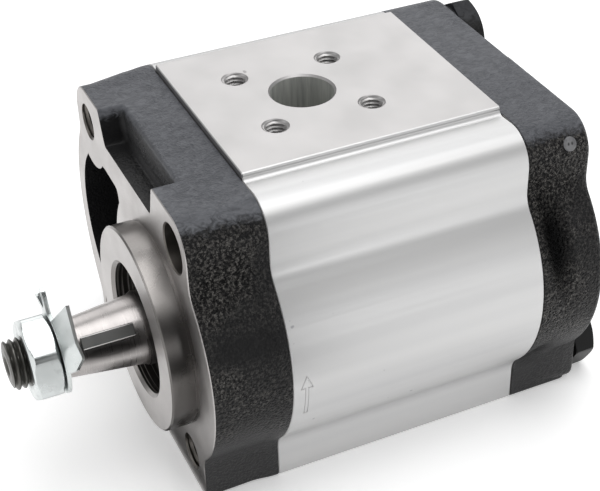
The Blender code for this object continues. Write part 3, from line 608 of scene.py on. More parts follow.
NYLON = moulded("backup_nylon", (0.70, 0.66, 0.55), 0.5)
PIP = pip_paint("pip_paint")
CARD = moulded("black_card", (0.01, 0.01, 0.01), 0.9)


# ---------------------------------------------------------------- front cover

def pocket_outline():
    """Cast pocket beside the pilot: two bosses, two webs, the land round the pilot and the far rim."""
    boss_r = 11.8
    land_r = 31.3
    land_angle = 143.3
    upper = arc(HOLE_MIN_X, HOLE_HIGH_Z, boss_r, -108.0, -42.0, 20)
    upper += [(-18.2, 61.0), (-14.0, 60.85), (-10.6, 60.7), (-9.5, 60.3), (-8.9, 59.5)]
    lower = arc(HOLE_MIN_X, HOLE_LOW_Z, boss_r, 42.0, 108.0, 20)
    low_web = [(x, 2 * AXIS_Z - z) for x, z in reversed(upper[-5:])]
    land = arc(AXIS_X, AXIS_Z, land_r, land_angle, 360.0 - land_angle, 40)
    rim = arc(-15.4, AXIS_Z, 26.0, 228.0, 132.0, 40)
    return upper + land + low_web + lower + rim


def notch_outline(x0, x1, back_y, corner):
    """Rounded rectangle in (x, y), open towards the drive end."""
    front_y = FLANGE_Y - 2.0
    outline = [(x0, front_y), (x1, front_y)]
    outline += arc(x1 - corner, back_y - corner, corner, 0.0, 90.0, 8)
    outline += arc(x0 + corner, back_y - corner, corner, 90.0, 180.0, 8)
    return outline


def notch_cutter():
    """Notch in the flange's top edge, with a filleted floor and a rounded rim."""
    floor_z = 68.9
    top_z = SHOULDER_Z - 0.5
    foot = 1.6
    lip = 1.1
    sections = [(floor_z + foot * c, foot * s, 0.0) for s, c in quarter(6)]
    sections += [(top_z - lip * s, 0.0, lip * c) for s, c in quarter(6)]
    sections.append((top_z + 2.0, 0.0, lip))
    rings = []
    for z, inward, outward in sections:
        rise = (z - floor_z) / (top_z - floor_z)
        x0 = -15.7 - 2.9 * rise + 0.3 * inward - 0.4 * outward
        x1 = 16.6 + 2.6 * rise - 0.3 * inward + 0.4 * outward
        rings.append((z, notch_outline(x0, x1, -29.0 - inward + outward, 1.3)))
    return loft_z("notch_cut", rings)


def pocket_cutter():
    """Cutter of the cast pocket, with a fillet round its floor."""
    outline = pocket_outline()
    foot = 1.2
    sections = [(FLANGE_Y - 2.0, outline), (FLANGE_Y, offset_outline(outline, 0.0))]
    for s, c in quarter(5):
        sections.append((FLANGE_Y + POCKET_DEPTH - foot * s, offset_outline(outline, -foot * c)))
    return loft_y("pocket_cut", sections)


def internal_thread(minor, major, pitch, y_start):
    """Radius of an internal thread cutter at station y."""
    def at(y):
        def radius(angle):
            turn = (y - y_start) / pitch - angle / (2 * pi)
            wave = abs((turn % 1.0) * 2.0 - 1.0)
            return minor + (major - minor) * min(1.0, max(0.0, wave * 1.3 - 0.12))
        return radius
    return at


def threaded_hole(name, x, z, mouth_y, depth, minor, major, pitch):
    """Threaded cutter going in along +Y."""
    at = internal_thread(minor, major, pitch, mouth_y)
    profile = [(major + 1.0, mouth_y - 1.0), (major - 0.05, mouth_y + 0.1)]
    step = pitch / 8
    for i in range(int(depth / step)):
        y = mouth_y + 0.5 + i * step
        profile.append((at(y), y))
    return turn_y(name, profile, 40, x, z)


def cover_face(centre, normal):
    """Front cover material: 0 paint, 1 flat machined, 2 turned, 3 bore, 4 smooth paint, 5 dark bore."""
    reach = hypot(centre.x - AXIS_X, centre.z - AXIS_Z)
    if reach < SEAL_BORE_R + 0.2 and centre.y > PILOT_FRONT_Y + 0.9:
        return 5
    if reach < SEAL_BORE_R + 1.2 and centre.y > PILOT_FRONT_Y + 0.02:
        return 2
    if centre.y < FLANGE_Y + 0.02 and normal.y < -0.95:
        return 1
    if centre.y < FLANGE_Y - 0.02:
        return 2
    if centre.y > COVER_BACK_Y - 0.05:
        return 1
    for x, z, _ in long_holes():
        if hypot(centre.x - x, centre.z - z) < THROUGH_R + 0.35:
            return 3
    if centre.y < FLANGE_Y + 0.35 and abs(normal.y) > 0.3:
        return 1
    in_notch = abs(centre.x) < 20.0 and 68.5 < centre.z < SHOULDER_Z - 0.6 and centre.y < -28.0
    in_pocket = -42.5 < centre.x < -6.0 and 14.0 < centre.z < 62.0 and centre.y < FLANGE_Y + 14.0
    in_pocket = in_pocket and (centre.x > -36.0 or normal.x > 0.0)
    return 4 if in_notch or in_pocket else 0


def make_front_cover():
    full = housing_outline()
    soft = 0.5
    sections = [(COVER_BACK_Y, offset_outline(full, -0.12)),
                (COVER_BACK_Y - 0.12, offset_outline(full, -0.02))]
    for i in range(7):
        t = i / 6
        inset = 0.02 + (soft - 0.02) * t * t * (3 - 2 * t)
        sections.append((COVER_BACK_Y - 0.8 - 6.0 * t, offset_outline(full, -inset)))
    sections += [(FLANGE_Y + 3.0, flange_outline(soft)), (FLANGE_Y + 0.2, flange_outline(soft)),
                 (FLANGE_Y, offset_outline(flange_outline(soft), -0.2))]
    cover = loft_y("front_cover_shell", sections,
                   (PAINT, IRON_FACE, IRON_TURNED, IRON_BORE, SMOOTH_PAINT, IRON_DARK))
    pilot = [(PILOT_R - 0.45, FLANGE_Y + 2.0), (PILOT_R - 0.45, FLANGE_Y - 0.75), (PILOT_R, FLANGE_Y - 0.95),
             (PILOT_R, PILOT_FRONT_Y + 0.4), (PILOT_R - 0.34, PILOT_FRONT_Y + 0.03),
             (PILOT_R - 0.42, PILOT_FRONT_Y)]
    join(cover, turn_y("pilot_add", pilot, 160, AXIS_X, AXIS_Z))
    cut(cover, notch_cutter())
    cut(cover, pocket_cutter())
    ring_y = -36.4
    bore = [(SEAL_BORE_R + 1.6, PILOT_FRONT_Y - 0.8), (SEAL_BORE_R, PILOT_FRONT_Y + 0.8),
            (SEAL_BORE_R, ring_y), (SEAL_BORE_R + 1.1, ring_y), (SEAL_BORE_R + 1.1, ring_y + 1.7),
            (SEAL_BORE_R, ring_y + 1.7),
            (SEAL_BORE_R, SEAL_FLOOR_Y), (SHAFT_PASS_R, SEAL_FLOOR_Y), (SHAFT_PASS_R, COVER_BACK_Y + 1)]
    cut(cover, turn_y("bore_cut", bore, 128, AXIS_X, AXIS_Z))
    cut(cover, seal_groove(COVER_BACK_Y - 1.9, COVER_BACK_Y + 1))
    for x, z in ((HOLE_MIN_X, HOLE_HIGH_Z), (HOLE_MAX_X, HOLE_LOW_Z)):
        cut(cover, threaded_hole("clamp_cut", x, z, FLANGE_Y, 7.5, 4.1, 4.65, 1.5))
        cut(cover, turn_y("clamp_cut", [(CLAMP_HOLE_R, -28.4), (CLAMP_HOLE_R, COVER_BACK_Y + 1)], 48, x, z))
    for x, z in ((HOLE_MAX_X, HOLE_HIGH_Z), (HOLE_MIN_X, HOLE_LOW_Z)):
        hole = [(THROUGH_R + 1.3, FLANGE_Y - 1.0), (THROUGH_R, FLANGE_Y + 0.3), (THROUGH_R, COVER_BACK_Y + 1)]
        cut(cover, turn_y("through_cut", hole, 64, x, z))
    polish(cover)
    paint_faces(cover, cover_face)
    place(cover, "housing", "black_cast", "front_cover")


# ---------------------------------------------------------------- body

def pad_outline():
    """Body outline: the housing's sides with the raised pad of the pressure port on top."""
    near = side_profile(WALL_X, FOOT_X, LOBE_X, LOBE_R, SHOULDER_Z)
    foot_r = 1.5
    edge_r = 0.7
    side_x = PAD_MAX_X + edge_r - 0.7
    near_pad = [(side_x + foot_r + 4.0, SHOULDER_Z), (side_x + foot_r + 2.4, SHOULDER_Z - 0.12)]
    near_pad += arc(side_x + foot_r, SHOULDER_Z - 0.3 + foot_r, foot_r, 270.0, 200.0, 10)
    near_pad += arc(side_x - edge_r + 0.1, PORT_FACE_Z - edge_r, edge_r, 0.0, 90.0, 8)
    far_pad = arc(PAD_MIN_X + 0.15, PORT_FACE_Z - 0.45, 0.45, 90.0, 180.0, 5)
    far_pad += arc(PAD_MIN_X - 0.9, SHOULDER_Z + 0.6, 0.6, 0.0, -90.0, 5)
    far = [(-x, z) for x, z in reversed(near)]
    return near + near_pad + far_pad + far


def screw_cutter(x, y, face_z, inward):
    """Blind M6 hole with its thread; inward is -1 from the top and 1 from the underside."""
    at = internal_thread(2.5, 3.0, 1.0, 0.0)
    profile = [(4.3, -1.0), (3.05, 0.28)]
    for i in range(64):
        depth = 0.4 + i * 0.125
        profile.append((at(depth), depth))
    profile += [(2.5, 8.6), (2.5, 11.5), (0.4, 12.6)]
    placed = [(radius, face_z + inward * depth) for radius, depth in profile]
    return turn_z("screw_cut", placed, 36, x, y)


def body_face(centre, normal):
    """Body material: 0 extruded, 1 milled, 2 port bore."""
    in_port = hypot(centre.x - PORT_X, centre.y - PORT_Y) < SUCTION_R + 0.1
    if in_port and 2.0 < centre.z < PORT_FACE_Z - 0.5:
        return 2
    on_top = normal.z > 0.98 and centre.z > PORT_FACE_Z - 0.05
    underneath = normal.z < -0.98 and centre.z < 0.05
    near_port = abs(centre.x - PORT_X) < 20.0 and abs(centre.y - PORT_Y) < 20.0
    in_hole = near_port and 0.2 < centre.z < PORT_FACE_Z - 0.02
    return 1 if on_top or underneath or abs(normal.y) > 0.9 or in_hole else 0


def arrow_outline():
    """Direction arrow as (along, across) points in millimetres, tail at 0."""
    length = 12.2
    return [(0.0, -0.4), (length - 3.4, -0.4), (length - 3.6, -1.5), (length, 0.0), (length - 3.6, 1.5),
            (length - 3.4, 0.4), (0.0, 0.4)]


def arrow_cutter():
    """Engraved line round the arrow, following the lobe."""
    tail_angle = radians(-17.4)
    centre_y = -12.85
    line_r = 0.17
    corners = arrow_outline()
    path = []
    for i, start in enumerate(corners):
        end = corners[(i + 1) % len(corners)]
        steps = max(1, int(hypot(end[0] - start[0], end[1] - start[1]) / 0.5))
        for k in range(steps):
            t = k / steps
            path.append((start[0] + (end[0] - start[0]) * t, start[1] + (end[1] - start[1]) * t))
    rings = []
    for i, (up, across) in enumerate(path):
        direction = (Vector(path[(i + 1) % len(path)]) - Vector(path[i - 1])).normalized()
        ring = []
        for k in range(6):
            turn = 2 * pi * k / 6
            angle = tail_angle + (up + direction.y * line_r * cos(turn)) / LOBE_R
            radius = LOBE_R + line_r * sin(turn)
            ring.append((LOBE_X + radius * cos(angle),
                         centre_y + across - direction.x * line_r * cos(turn),
                         LOBE_Z + radius * sin(angle)))
        rings.append(ring)
    return loft("arrow_cut", rings, closed=True)


def make_pump_body():
    outline = pad_outline()
    edge = 0.22
    small = offset_outline(outline, -edge)
    body = loft_y("pump_body_shell", [(BODY_FRONT_Y, small), (BODY_FRONT_Y + edge, outline),
                                      (BODY_BACK_Y - edge, outline), (BODY_BACK_Y, small)],
                  (ALUMINIUM, MILLED, BORED))
    cut(body, arrow_cutter())
    chamber = figure_eight(CHAMBER_R, 44)
    cut(body, loft_y("chamber_cut", [(BODY_FRONT_Y - 1, chamber), (BODY_BACK_Y + 1, chamber)]))
    bevel = 0.5
    port = [(PRESSURE_R, 47.0), (PRESSURE_R, PORT_FACE_Z - bevel),
            (PRESSURE_R + bevel + 1.0, PORT_FACE_Z + 1.0)]
    cut(body, turn_z("pressure_cut", port, 96, PORT_X, PORT_Y))
    port = [(SUCTION_R + bevel + 1.0, -1.0), (SUCTION_R, bevel), (SUCTION_R, 29.0)]
    cut(body, turn_z("suction_cut", port, 96, PORT_X, PORT_Y))
    for sx in (-1, 1):
        for sy in (-1, 1):
            for pitch, face_z, inward in ((PRESSURE_PITCH, PORT_FACE_Z, -1), (SUCTION_PITCH, 0.0, 1)):
                cut(body, screw_cutter(PORT_X + sx * pitch, PORT_Y + sy * pitch, face_z, inward))
    for x, z, radius in long_holes():
        cut(body, turn_y("bolt_cut", [(radius, BODY_FRONT_Y - 1), (radius, BODY_BACK_Y + 1)], 48, x, z))
    polish(body)
    paint_faces(body, body_face)
    place(body, "housing", "aluminium", "pump_body")


def long_holes():
    """(x, z, radius) of the holes that run through the body and rear cover."""
    return [(HOLE_MIN_X, HOLE_HIGH_Z, CLAMP_HOLE_R), (HOLE_MAX_X, HOLE_LOW_Z, CLAMP_HOLE_R),
            (HOLE_MAX_X, HOLE_HIGH_Z, THROUGH_R), (HOLE_MIN_X, HOLE_LOW_Z, THROUGH_R)]


# ---------------------------------------------------------------- rear cover

def rear_face(centre, normal):
    """Rear cover material: 0 paint, 1 machined joint face, 2 bore."""
    if centre.y < REAR_FRONT_Y + 0.05:
        return 1
    for x, z, radius in long_holes():
        if hypot(centre.x - x, centre.z - z) < radius + 0.05 and centre.y < REAR_Y - 0.4:
            return 2
    return 0


def low_boss_outline(reach, inset):
    """Boss round the lower clamp bolt, reach being its outer X."""
    inner_x = 20.0
    height = 19.0
    corner_r = 4.0
    low = arc(reach - corner_r, corner_r, corner_r - inset, -90.0, 0.0, 10)
    high = arc(reach - corner_r, height - corner_r, corner_r - inset, 0.0, 90.0, 10)
    return [(inner_x + inset, inset)] + low + high + [(inner_x + inset, height - inset)]


def low_boss():
    """The foot leans out towards the rear and ends in a rounded edge."""
    reach = FOOT_X + 1.2
    round_r = 1.15
    sections = [(REAR_FRONT_Y + 0.5, low_boss_outline(FOOT_X - 0.2, 0.4))]
    for i in range(5):
        t = i / 4
        outline = low_boss_outline(FOOT_X - 0.1 + 1.3 * t, 0.3 - 0.2 * t)
        sections.append((REAR_FRONT_Y + 4.0 + 10.5 * t, outline))
    for s, c in quarter(5):
        sections.append((LOW_BOSS_Y - round_r * s, low_boss_outline(reach, 0.1 + round_r * c)))
    return loft_y("boss_add", sections)


def bell(value, centre, width):
    return exp(-((value - centre) / width) ** 2)


def flank_hollow(y, z):
    """Depth of the soft cast hollows in the rear cover's flanks."""
    tall = 2.0 * bell(y, 54.4 + 0.13 * (52.0 - z), 2.2) * bell(z, 51.0, 11.0)
    small = 1.4 * bell(y, 54.5, 3.0) * bell(z, 16.5, 4.5)
    return tall + small


def hollowed_outline(y):
    """Rear cover outline at a station along the shafts; only the flanks are hollowed."""
    flank_x = 36.0
    outline = []
    for x, z in housing_outline():
        depth = flank_hollow(y, z) if abs(x) > flank_x else 0.0
        outline.append((x - copysign(depth, x), z))
    return outline


def make_rear_cover():
    round_r = 1.8
    sections = [(REAR_FRONT_Y, housing_outline(0.15)), (REAR_FRONT_Y + 0.15, housing_outline())]
    for i in range(1, 24):
        y = REAR_FRONT_Y + 0.15 + (REAR_Y - round_r - REAR_FRONT_Y - 0.15) * i / 24
        sections.append((y, hollowed_outline(y)))
    sections += [(REAR_Y - round_r * s, housing_outline(round_r * c)) for s, c in quarter(7)]
    cover = loft_y("rear_cover_shell", sections, (PAINT, IRON_FACE, IRON_BORE))
    join(cover, low_boss())
    recess = [(-24.0, 68.0), (1.0, 68.0), (2.0, 69.0), (2.6, SHOULDER_Z + 1), (-24.6, SHOULDER_Z + 1),
              (-24.6, 69.0)]
    cut(cover, loft_y("recess_cut", [(REAR_RECESS_Y, recess), (REAR_Y + 1, offset_outline(recess, 0.9))]))
    for x, z, radius in long_holes():
        face_y = LOW_BOSS_Y if x > 0 and z < AXIS_Z else REAR_Y
        hole = [(radius, REAR_FRONT_Y - 1), (radius, face_y - 0.4), (radius + 1.4, face_y + 1)]
        cut(cover, turn_y("bolt_cut", hole, 48, x, z))
    cut(cover, seal_groove(REAR_FRONT_Y - 1, REAR_FRONT_Y + 1.9))
    polish(cover)
    paint_faces(cover, rear_face)
    place(cover, "housing", "black_cast", "rear_cover")


# ---------------------------------------------------------------- shaft end

def hex_ring(across, phase, limit):
    """Radius function: a hexagon trimmed by a circle."""
    def radius(angle):
        local = (angle - phase) % (pi / 3) - pi / 6
        return min(limit, across / 2 / cos(local))
    return radius


def chamfer_stations(across, phase, y_face, direction):
    """Rings of a hexagon whose corners are turned off by a cone, from the face inwards."""
    inner = across * 0.475
    slope = 0.58
    depths = [0.11 * i for i in range(9)]
    return [(hex_ring(across, phase, inner + depth / slope), y_face + direction * depth) for depth in depths]


def external_thread(y):
    """Radius function of the shaft's M12 thread at station y."""
    lead_in = min(1.0, max(0.0, (y - SHAFT_TIP_Y) / 0.9))
    depth = (THREAD_MAJOR_R - THREAD_MINOR_R) * (lead_in * 0.6 + 0.4)

    def radius(angle):
        turn = (y - SHAFT_TIP_Y) / THREAD_PITCH - angle / (2 * pi)
        wave = abs((turn % 1.0) * 2.0 - 1.0)
        return THREAD_MINOR_R + depth * min(1.0, max(0.0, wave * 1.35 - 0.1))
    return radius


def make_shaft():
    """Drive gear and shaft: the thread and taper show, the gear fills the CAD gear's place."""
    outline = gear_outline(AXIS_X, 0.0)
    small = offset_outline(outline, -0.15)
    sections = [(2.75, small), (2.95, outline), (30.35, outline), (30.55, small)]
    gear = loft_y("drive_gear_shaft_detail", sections, (STEEL, THREAD))
    profile = [(0.3, SHAFT_TIP_Y + 2.2), (1.9, SHAFT_TIP_Y + 0.75), (2.5, SHAFT_TIP_Y + 0.12),
               (2.8, SHAFT_TIP_Y), (4.3, SHAFT_TIP_Y), (4.6, SHAFT_TIP_Y + 0.08)]
    step = THREAD_PITCH / 10
    for i in range(int((NUT_FRONT_Y + 1.5 - SHAFT_TIP_Y) / step)):
        y = SHAFT_TIP_Y + 0.3 + step * i
        profile.append((external_thread(y), y))
    profile += [(THREAD_MINOR_R, -65.9), (THREAD_MINOR_R, TAPER_SMALL_Y - 0.4), (6.25, TAPER_SMALL_Y - 0.1),
                (6.6, TAPER_SMALL_Y + 0.12), (6.65, TAPER_SMALL_Y + 0.4), (8.43, TAPER_LARGE_Y),
                (9.0, TAPER_LARGE_Y + 1.0), (9.0, 48.5), (8.4, 49.1)]
    join(gear, turn_y("shaft_add", profile, 96, AXIS_X, AXIS_Z))
    cut(gear, key_solid("key_cut", 1.62, 6.7, 6.0))
    polish(gear, 30.0)

    def shaft_face(centre, normal):
        return 1 if centre.y < TAPER_SMALL_Y - 0.3 else 0

    paint_faces(gear, shaft_face)
    place(gear, "drive_shaft", "ground_steel", "drive_gear_shaft")


def key_profile(radius, rise):
    """Woodruff key outline as (along Y, out from the axis)."""
    centre_out = 10.3
    top_out = 8.9
    drop = centre_out - top_out
    if rise > 0:
        half = arc(0.0, centre_out, radius, 180.0, 360.0, 40)
        return [(-radius, top_out + rise)] + half + [(radius, top_out + rise)]
    start = degrees(asin(drop / radius))
    return arc(0.0, centre_out, radius, 180.0 + start, 360.0 - start, 40)


def place_on_shaft(bm, angle):
    """Turn a bmesh whose +Z points outwards so that it points along angle from the drive axis."""
    turn = Matrix.Rotation(pi / 2 - radians(angle), 4, "Y")
    bmesh.ops.transform(bm, matrix=Matrix.Translation((AXIS_X, 0.0, AXIS_Z)) @ turn, verts=bm.verts)


def key_solid(name, half_width, radius, rise, mats=()):
    bm = bmesh.new()
    sides = []
    for across in (-half_width, half_width):
        profile = key_profile(radius, rise)
        sides.append([bm.verts.new((across, KEY_CENTRE_Y + along, out)) for along, out in profile])
    skin_rings(bm, sides, False)
    place_on_shaft(bm, KEY_ANGLE)
    return finish_mesh(name, bm, mats)


def make_key():
    key = key_solid("woodruff_key_detail", 1.5, 6.5, 0.0, (KEY_STEEL, BRIGHT_STEEL))
    soften(key, 0.2, 1)
    polish(key)
    turn = radians(KEY_ANGLE)
    outwards = Vector((cos(turn), 0.0, sin(turn)))

    # Painted highlight: the chamfers along the key's edges take the bright steel.
    def key_face(centre, normal):
        return 1 if abs(normal.y) < 0.3 and 0.3 < normal.dot(outwards) < 0.95 else 0

    paint_faces(key, key_face)
    place(key, "drive_shaft", "dark_steel", "woodruff_key")


def involute_angle(radius, base):
    ratio = sqrt(max(0.0, (radius / base) ** 2 - 1.0))
    return ratio - atan(ratio)


def gear_outline(cx, phase):
    """External gear of 12 teeth, module 2.75, tooth zero centred on phase."""
    teeth = 12
    pitch_r = 16.5
    base_r = pitch_r * cos(radians(25.0))
    tip_r = pitch_r + 2.6
    root_r = pitch_r - 3.35
    half_tooth = pi / (2 * teeth) - 0.36 / (4 * pitch_r)
    pitch_inv = involute_angle(pitch_r, base_r)
    start_r = max(base_r, root_r + 0.6)
    flank = [start_r + (tip_r - start_r) * i / 8 for i in range(9)]
    outline = []
    for tooth in range(teeth):
        middle = phase + 2 * pi * tooth / teeth
        rising = [(r, half_tooth + pitch_inv - involute_angle(r, base_r)) for r in flank]
        root_half = rising[0][1] + 0.02
        polar = [(root_r, -root_half)]
        polar += [(r, -a) for r, a in rising]
        polar += [(r, a) for r, a in reversed(rising)]
        polar.append((root_r, root_half))
        outline += [(cx + r * cos(middle + a), AXIS_Z + r * sin(middle + a)) for r, a in polar]
    return outline


def make_nut():
    phase = radians(37.5)
    outside = chamfer_stations(NUT_ACROSS, phase, NUT_FRONT_Y, 1)
    outside += reversed(chamfer_stations(NUT_ACROSS, phase, NUT_BACK_Y, -1))
    at = internal_thread(5.5, 6.2, THREAD_PITCH, NUT_FRONT_Y)
    hole = [(6.6, NUT_BACK_Y), (6.1, NUT_BACK_Y - 0.5)]
    for i in range(28):
        y = NUT_BACK_Y - 0.65 - 0.17 * i
        hole.append((at(y), y))
    hole += [(6.1, NUT_FRONT_Y + 0.6), (6.75, NUT_FRONT_Y)]
    nut = turn_y("shaft_nut_detail", outside + hole, 96, AXIS_X, AXIS_Z, (ZINC,), True, phase)
    polish(nut, 28.0)
    place(nut, "drive_shaft", "zinc", "shaft_nut")


def tab_end(across):
    """(out, back) of the wide tab's free edge at a place across it."""
    stations = ((-6.5, 15.4, 3.1), (2.0, 14.1, 2.8), (5.4, 12.3, 3.6), (7.2, 9.4, 1.9))
    for (a0, out0, back0), (a1, out1, back1) in zip(stations[:-1], stations[1:]):
        if across <= a1:
            t = (across - a0) / (a1 - a0)
            return out0 + (out1 - out0) * t, back0 + (back1 - back0) * t
    return stations[-1][1:]


def tab_profile(across, root_across):
    """Wide tab's section at one place across it, as (across, out, back) from the ring to the free edge."""
    ring_out = sqrt(9.7 ** 2 - root_across ** 2)
    end_out, end_back = tab_end(across)
    points = [(root_across, ring_out - 1.6, 0.0), (root_across, ring_out, 0.02)]
    for k in range(1, 13):
        t = k / 12
        lift = min(1.0, 1.12 * t * t / (t + 0.12))
        points.append((root_across + (across - root_across) * t, ring_out + (end_out - ring_out) * t,
                       0.02 + (end_back - 0.02) * lift))
    return points


def wide_tab():
    """Bent tab of the lock washer: a closed sheet with a rounded bend."""
    bm = bmesh.new()
    rings = []
    for i in range(25):
        along = i / 24
        front = tab_profile(-6.5 + 13.7 * along, -5.3 + 12.3 * along)
        rear = []
        for k, (across, out, back) in enumerate(front):
            before = front[max(0, k - 1)]
            after = front[min(len(front) - 1, k + 1)]
            length = hypot(after[1] - before[1], after[2] - before[2])
            rear.append((across, out - WASHER_THICK * (after[2] - before[2]) / length,
                         back + WASHER_THICK * (after[1] - before[1]) / length))
        ring = front + rear[::-1]
        rings.append([bm.verts.new((across, WASHER_Y + back, out)) for across, out, back in ring])
    skin_rings(bm, rings, False)
    bmesh.ops.triangulate(bm, faces=bm.faces)
    place_on_shaft(bm, 50.0)
    return finish_mesh("wide_tab_add", bm)


def forked_tab():
    """Narrow radial tab with a slot: one long prong in the washer's plane, one short prong bent forward."""
    outline = [(-3.3, 8.2, 0.0), (2.4, 8.2, 0.0), (2.4, 14.9, 0.0), (2.0, 15.5, 0.0), (1.2, 15.9, 0.0),
               (0.5, 15.5, 0.0), (0.25, 14.6, 0.0), (0.2, 10.9, 0.0), (-0.1, 10.6, 0.0), (-0.4, 10.9, 0.05),
               (-0.5, 12.4, 0.4), (-0.6, 13.7, 0.7), (-1.9, 14.2, 0.8), (-3.0, 13.8, 0.7), (-3.3, 12.2, 0.4),
               (-3.3, 10.6, 0.0)]
    bm = bmesh.new()
    sides = []
    for y in (WASHER_Y, WASHER_Y + WASHER_THICK):
        sides.append([bm.verts.new((across, y - forward, out)) for across, out, forward in outline])
    count = len(outline)
    for i in range(count):
        j = (i + 1) % count
        bm.faces.new((sides[0][i], sides[0][j], sides[1][j], sides[1][i]))
    for ring in sides:
        bm.faces.new(ring[:9] + ring[15:])
        bm.faces.new(ring[8:11] + ring[14:])
        bm.faces.new(ring[10:15])
    bmesh.ops.triangulate(bm, faces=bm.faces)
    place_on_shaft(bm, 116.0)
    return finish_mesh("forked_tab_add", bm)


def make_washer():
    back_y = WASHER_Y + WASHER_THICK
    profile = [(6.3, WASHER_Y), (9.8, WASHER_Y), (9.8, back_y), (6.3, back_y)]
    washer = turn_y("lock_washer_detail", profile, 96, AXIS_X, AXIS_Z, (ZINC,), True)
    join(washer, wide_tab())
    join(washer, forked_tab())
    polish(washer)
    soften(washer, 0.14, 2, 40.0)
    polish(washer)
    washer.data.materials.clear()
    washer.data.materials.append(ZINC)
    place(washer, "drive_shaft", "zinc", "lock_washer")


# ---------------------------------------------------------------- bolts and seals

def make_bolt(node, x, z, face_y, phase):
    seat_y = face_y + 0.3
    top_y = seat_y + HEAD_HEIGHT
    head = [(4.6, -28.1), (4.9, -27.4), (4.9, seat_y), (8.0, seat_y), (8.1, seat_y + 0.35),
            (hex_ring(HEAD_ACROSS, phase, 9.4), seat_y + 0.4),
            (hex_ring(HEAD_ACROSS, phase, 12.0), seat_y + 0.75)]
    head += reversed(chamfer_stations(HEAD_ACROSS, phase, top_y, -1))
    head += [(5.6, top_y), (5.3, top_y - 0.25)]
    bolt = turn_y(node + "_detail", head, 96, x, z, (BOLT_PAINT,), start=phase)
    polish(bolt, 28.0)
    place(bolt, "housing", "dark_steel", node)


def make_shaft_seal():
    case = [(15.7, -34.4), (15.7, -26.9), (14.4, -26.9), (14.2, -32.9), (13.0, -33.1), (11.6, -32.6),
            (11.0, -29.0), (9.9, -29.0), (9.3, -30.6), (10.2, -33.4), (9.4, -34.4), (10.6, -34.6),
            (12.4, -34.2), (13.6, -34.2), (13.9, -34.6), (15.5, -34.6)]
    seal = turn_y("shaft_seal_detail", case, 96, AXIS_X, AXIS_Z, (RUBBER, BRIGHT_STEEL), True)
    polish(seal, 30.0)

    def seal_face(centre, normal):
        return 1 if hypot(centre.x - AXIS_X, centre.z - AXIS_Z) > 13.6 else 0

    paint_faces(seal, seal_face)
    place(seal, "housing", "rubber", "shaft_seal")


def make_retaining_ring():
    outer = arc(AXIS_X, AXIS_Z, 16.8, -70.0, 250.0, 100)
    inner = arc(AXIS_X, AXIS_Z, 14.4, 238.0, -58.0, 92)
    lug_left = arc(AXIS_X, AXIS_Z, 13.0, 248.0, 241.0, 4)
    lug_right = arc(AXIS_X, AXIS_Z, 13.0, -61.0, -68.0, 4)
    outline = outer + lug_left + inner + lug_right
    ring = loft_y("retaining_ring_detail", [(-36.1, outline), (-35.0, outline)], (BRIGHT_STEEL,))
    soften(ring, 0.1)
    polish(ring)
    place(ring, "housing", "dark_steel", "retaining_ring")


def make_cast_marks():
    """Small round pip on the rear cover's corner, left by the casting's vent."""
    corner_x = WALL_X - CORNER_R
    corner_z = SHOULDER_Z - CORNER_R
    out = Vector((39.0 - corner_x, 0.0, 73.4 - corner_z)).normalized()
    centre = Vector((corner_x, 60.6, corner_z)) + out * CORNER_R
    bm = bmesh.new()
    profile = ((1.75, -0.5), (1.75, 0.02), (1.6, 0.2), (1.35, 0.28), (1.2, 0.22), (0.4, 0.2))
    rings = [[bm.verts.new((x, y, lift)) for x, y in ring] for lift, ring in turned(profile, 32, 0.0, 0.0)]
    skin_rings(bm, rings, False)
    turn = out.to_track_quat("Z", "Y").to_matrix().to_4x4()
    bmesh.ops.transform(bm, matrix=Matrix.Translation(centre) @ turn, verts=bm.verts)
    pip = finish_mesh("rear_cover_pip", bm, (PIP,))
    polish(pip)
    place(pip, "housing", "black_cast")


# ---------------------------------------------------------------- CAD nodes that stay

def repaint(mat, *nodes):
    """Give carried-over CAD nodes a finished material."""
    for node in nodes:
        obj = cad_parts[node]
        for material_slot in obj.material_slots:
            material_slot.material = mat
        if not obj.material_slots:
            obj.data.materials.append(mat)


def repaint_all():
    repaint(STEEL, "driven_gear_shaft")
    repaint(ALLOY, "front_bearing_block", "rear_bearing_block")
    repaint(BRONZE, "front_drive_bush", "front_driven_bush", "rear_drive_bush", "rear_driven_bush")
    repaint(RUBBER, "front_axial_seal", "rear_axial_seal", "front_case_seal", "rear_case_seal")
    repaint(NYLON, "front_backup_ring", "rear_backup_ring")
    repaint(BRIGHT_STEEL, "seal_spring", "dowel_pin_front_upper", "dowel_pin_front_lower",
            "dowel_pin_rear_upper", "dowel_pin_rear_lower")


# ---------------------------------------------------------------- stage

def make_camera():
    """Long lens from the front right and above, nearly level, with a small shift."""
    azimuth = radians(65.27)
    elevation = radians(36.772)
    roll = radians(-0.957)
    back = Vector((sin(azimuth) * cos(elevation), -cos(azimuth) * cos(elevation),
                   sin(elevation)))
    level = Vector((cos(azimuth), sin(azimuth), 0.0))
    upright = back.cross(level)
    right = cos(roll) * level + sin(roll) * upright
    up = cos(roll) * upright - sin(roll) * level
    data = bpy.data.cameras.new("camera")
    data.sensor_width = 36.0
    data.lens = 84.978
    data.shift_x = -0.0459333
    data.shift_y = 0.0554667
    data.clip_start = 0.01
    data.clip_end = 20.0
    camera = bpy.data.objects.new("camera", data)
    matrix = Matrix((right, up, back)).transposed().to_4x4()
    matrix.translation = Vector((0.27130, -0.110115, 0.24613))
    camera.matrix_world = matrix
    bpy.context.scene.collection.objects.link(camera)
    bpy.context.scene.camera = camera


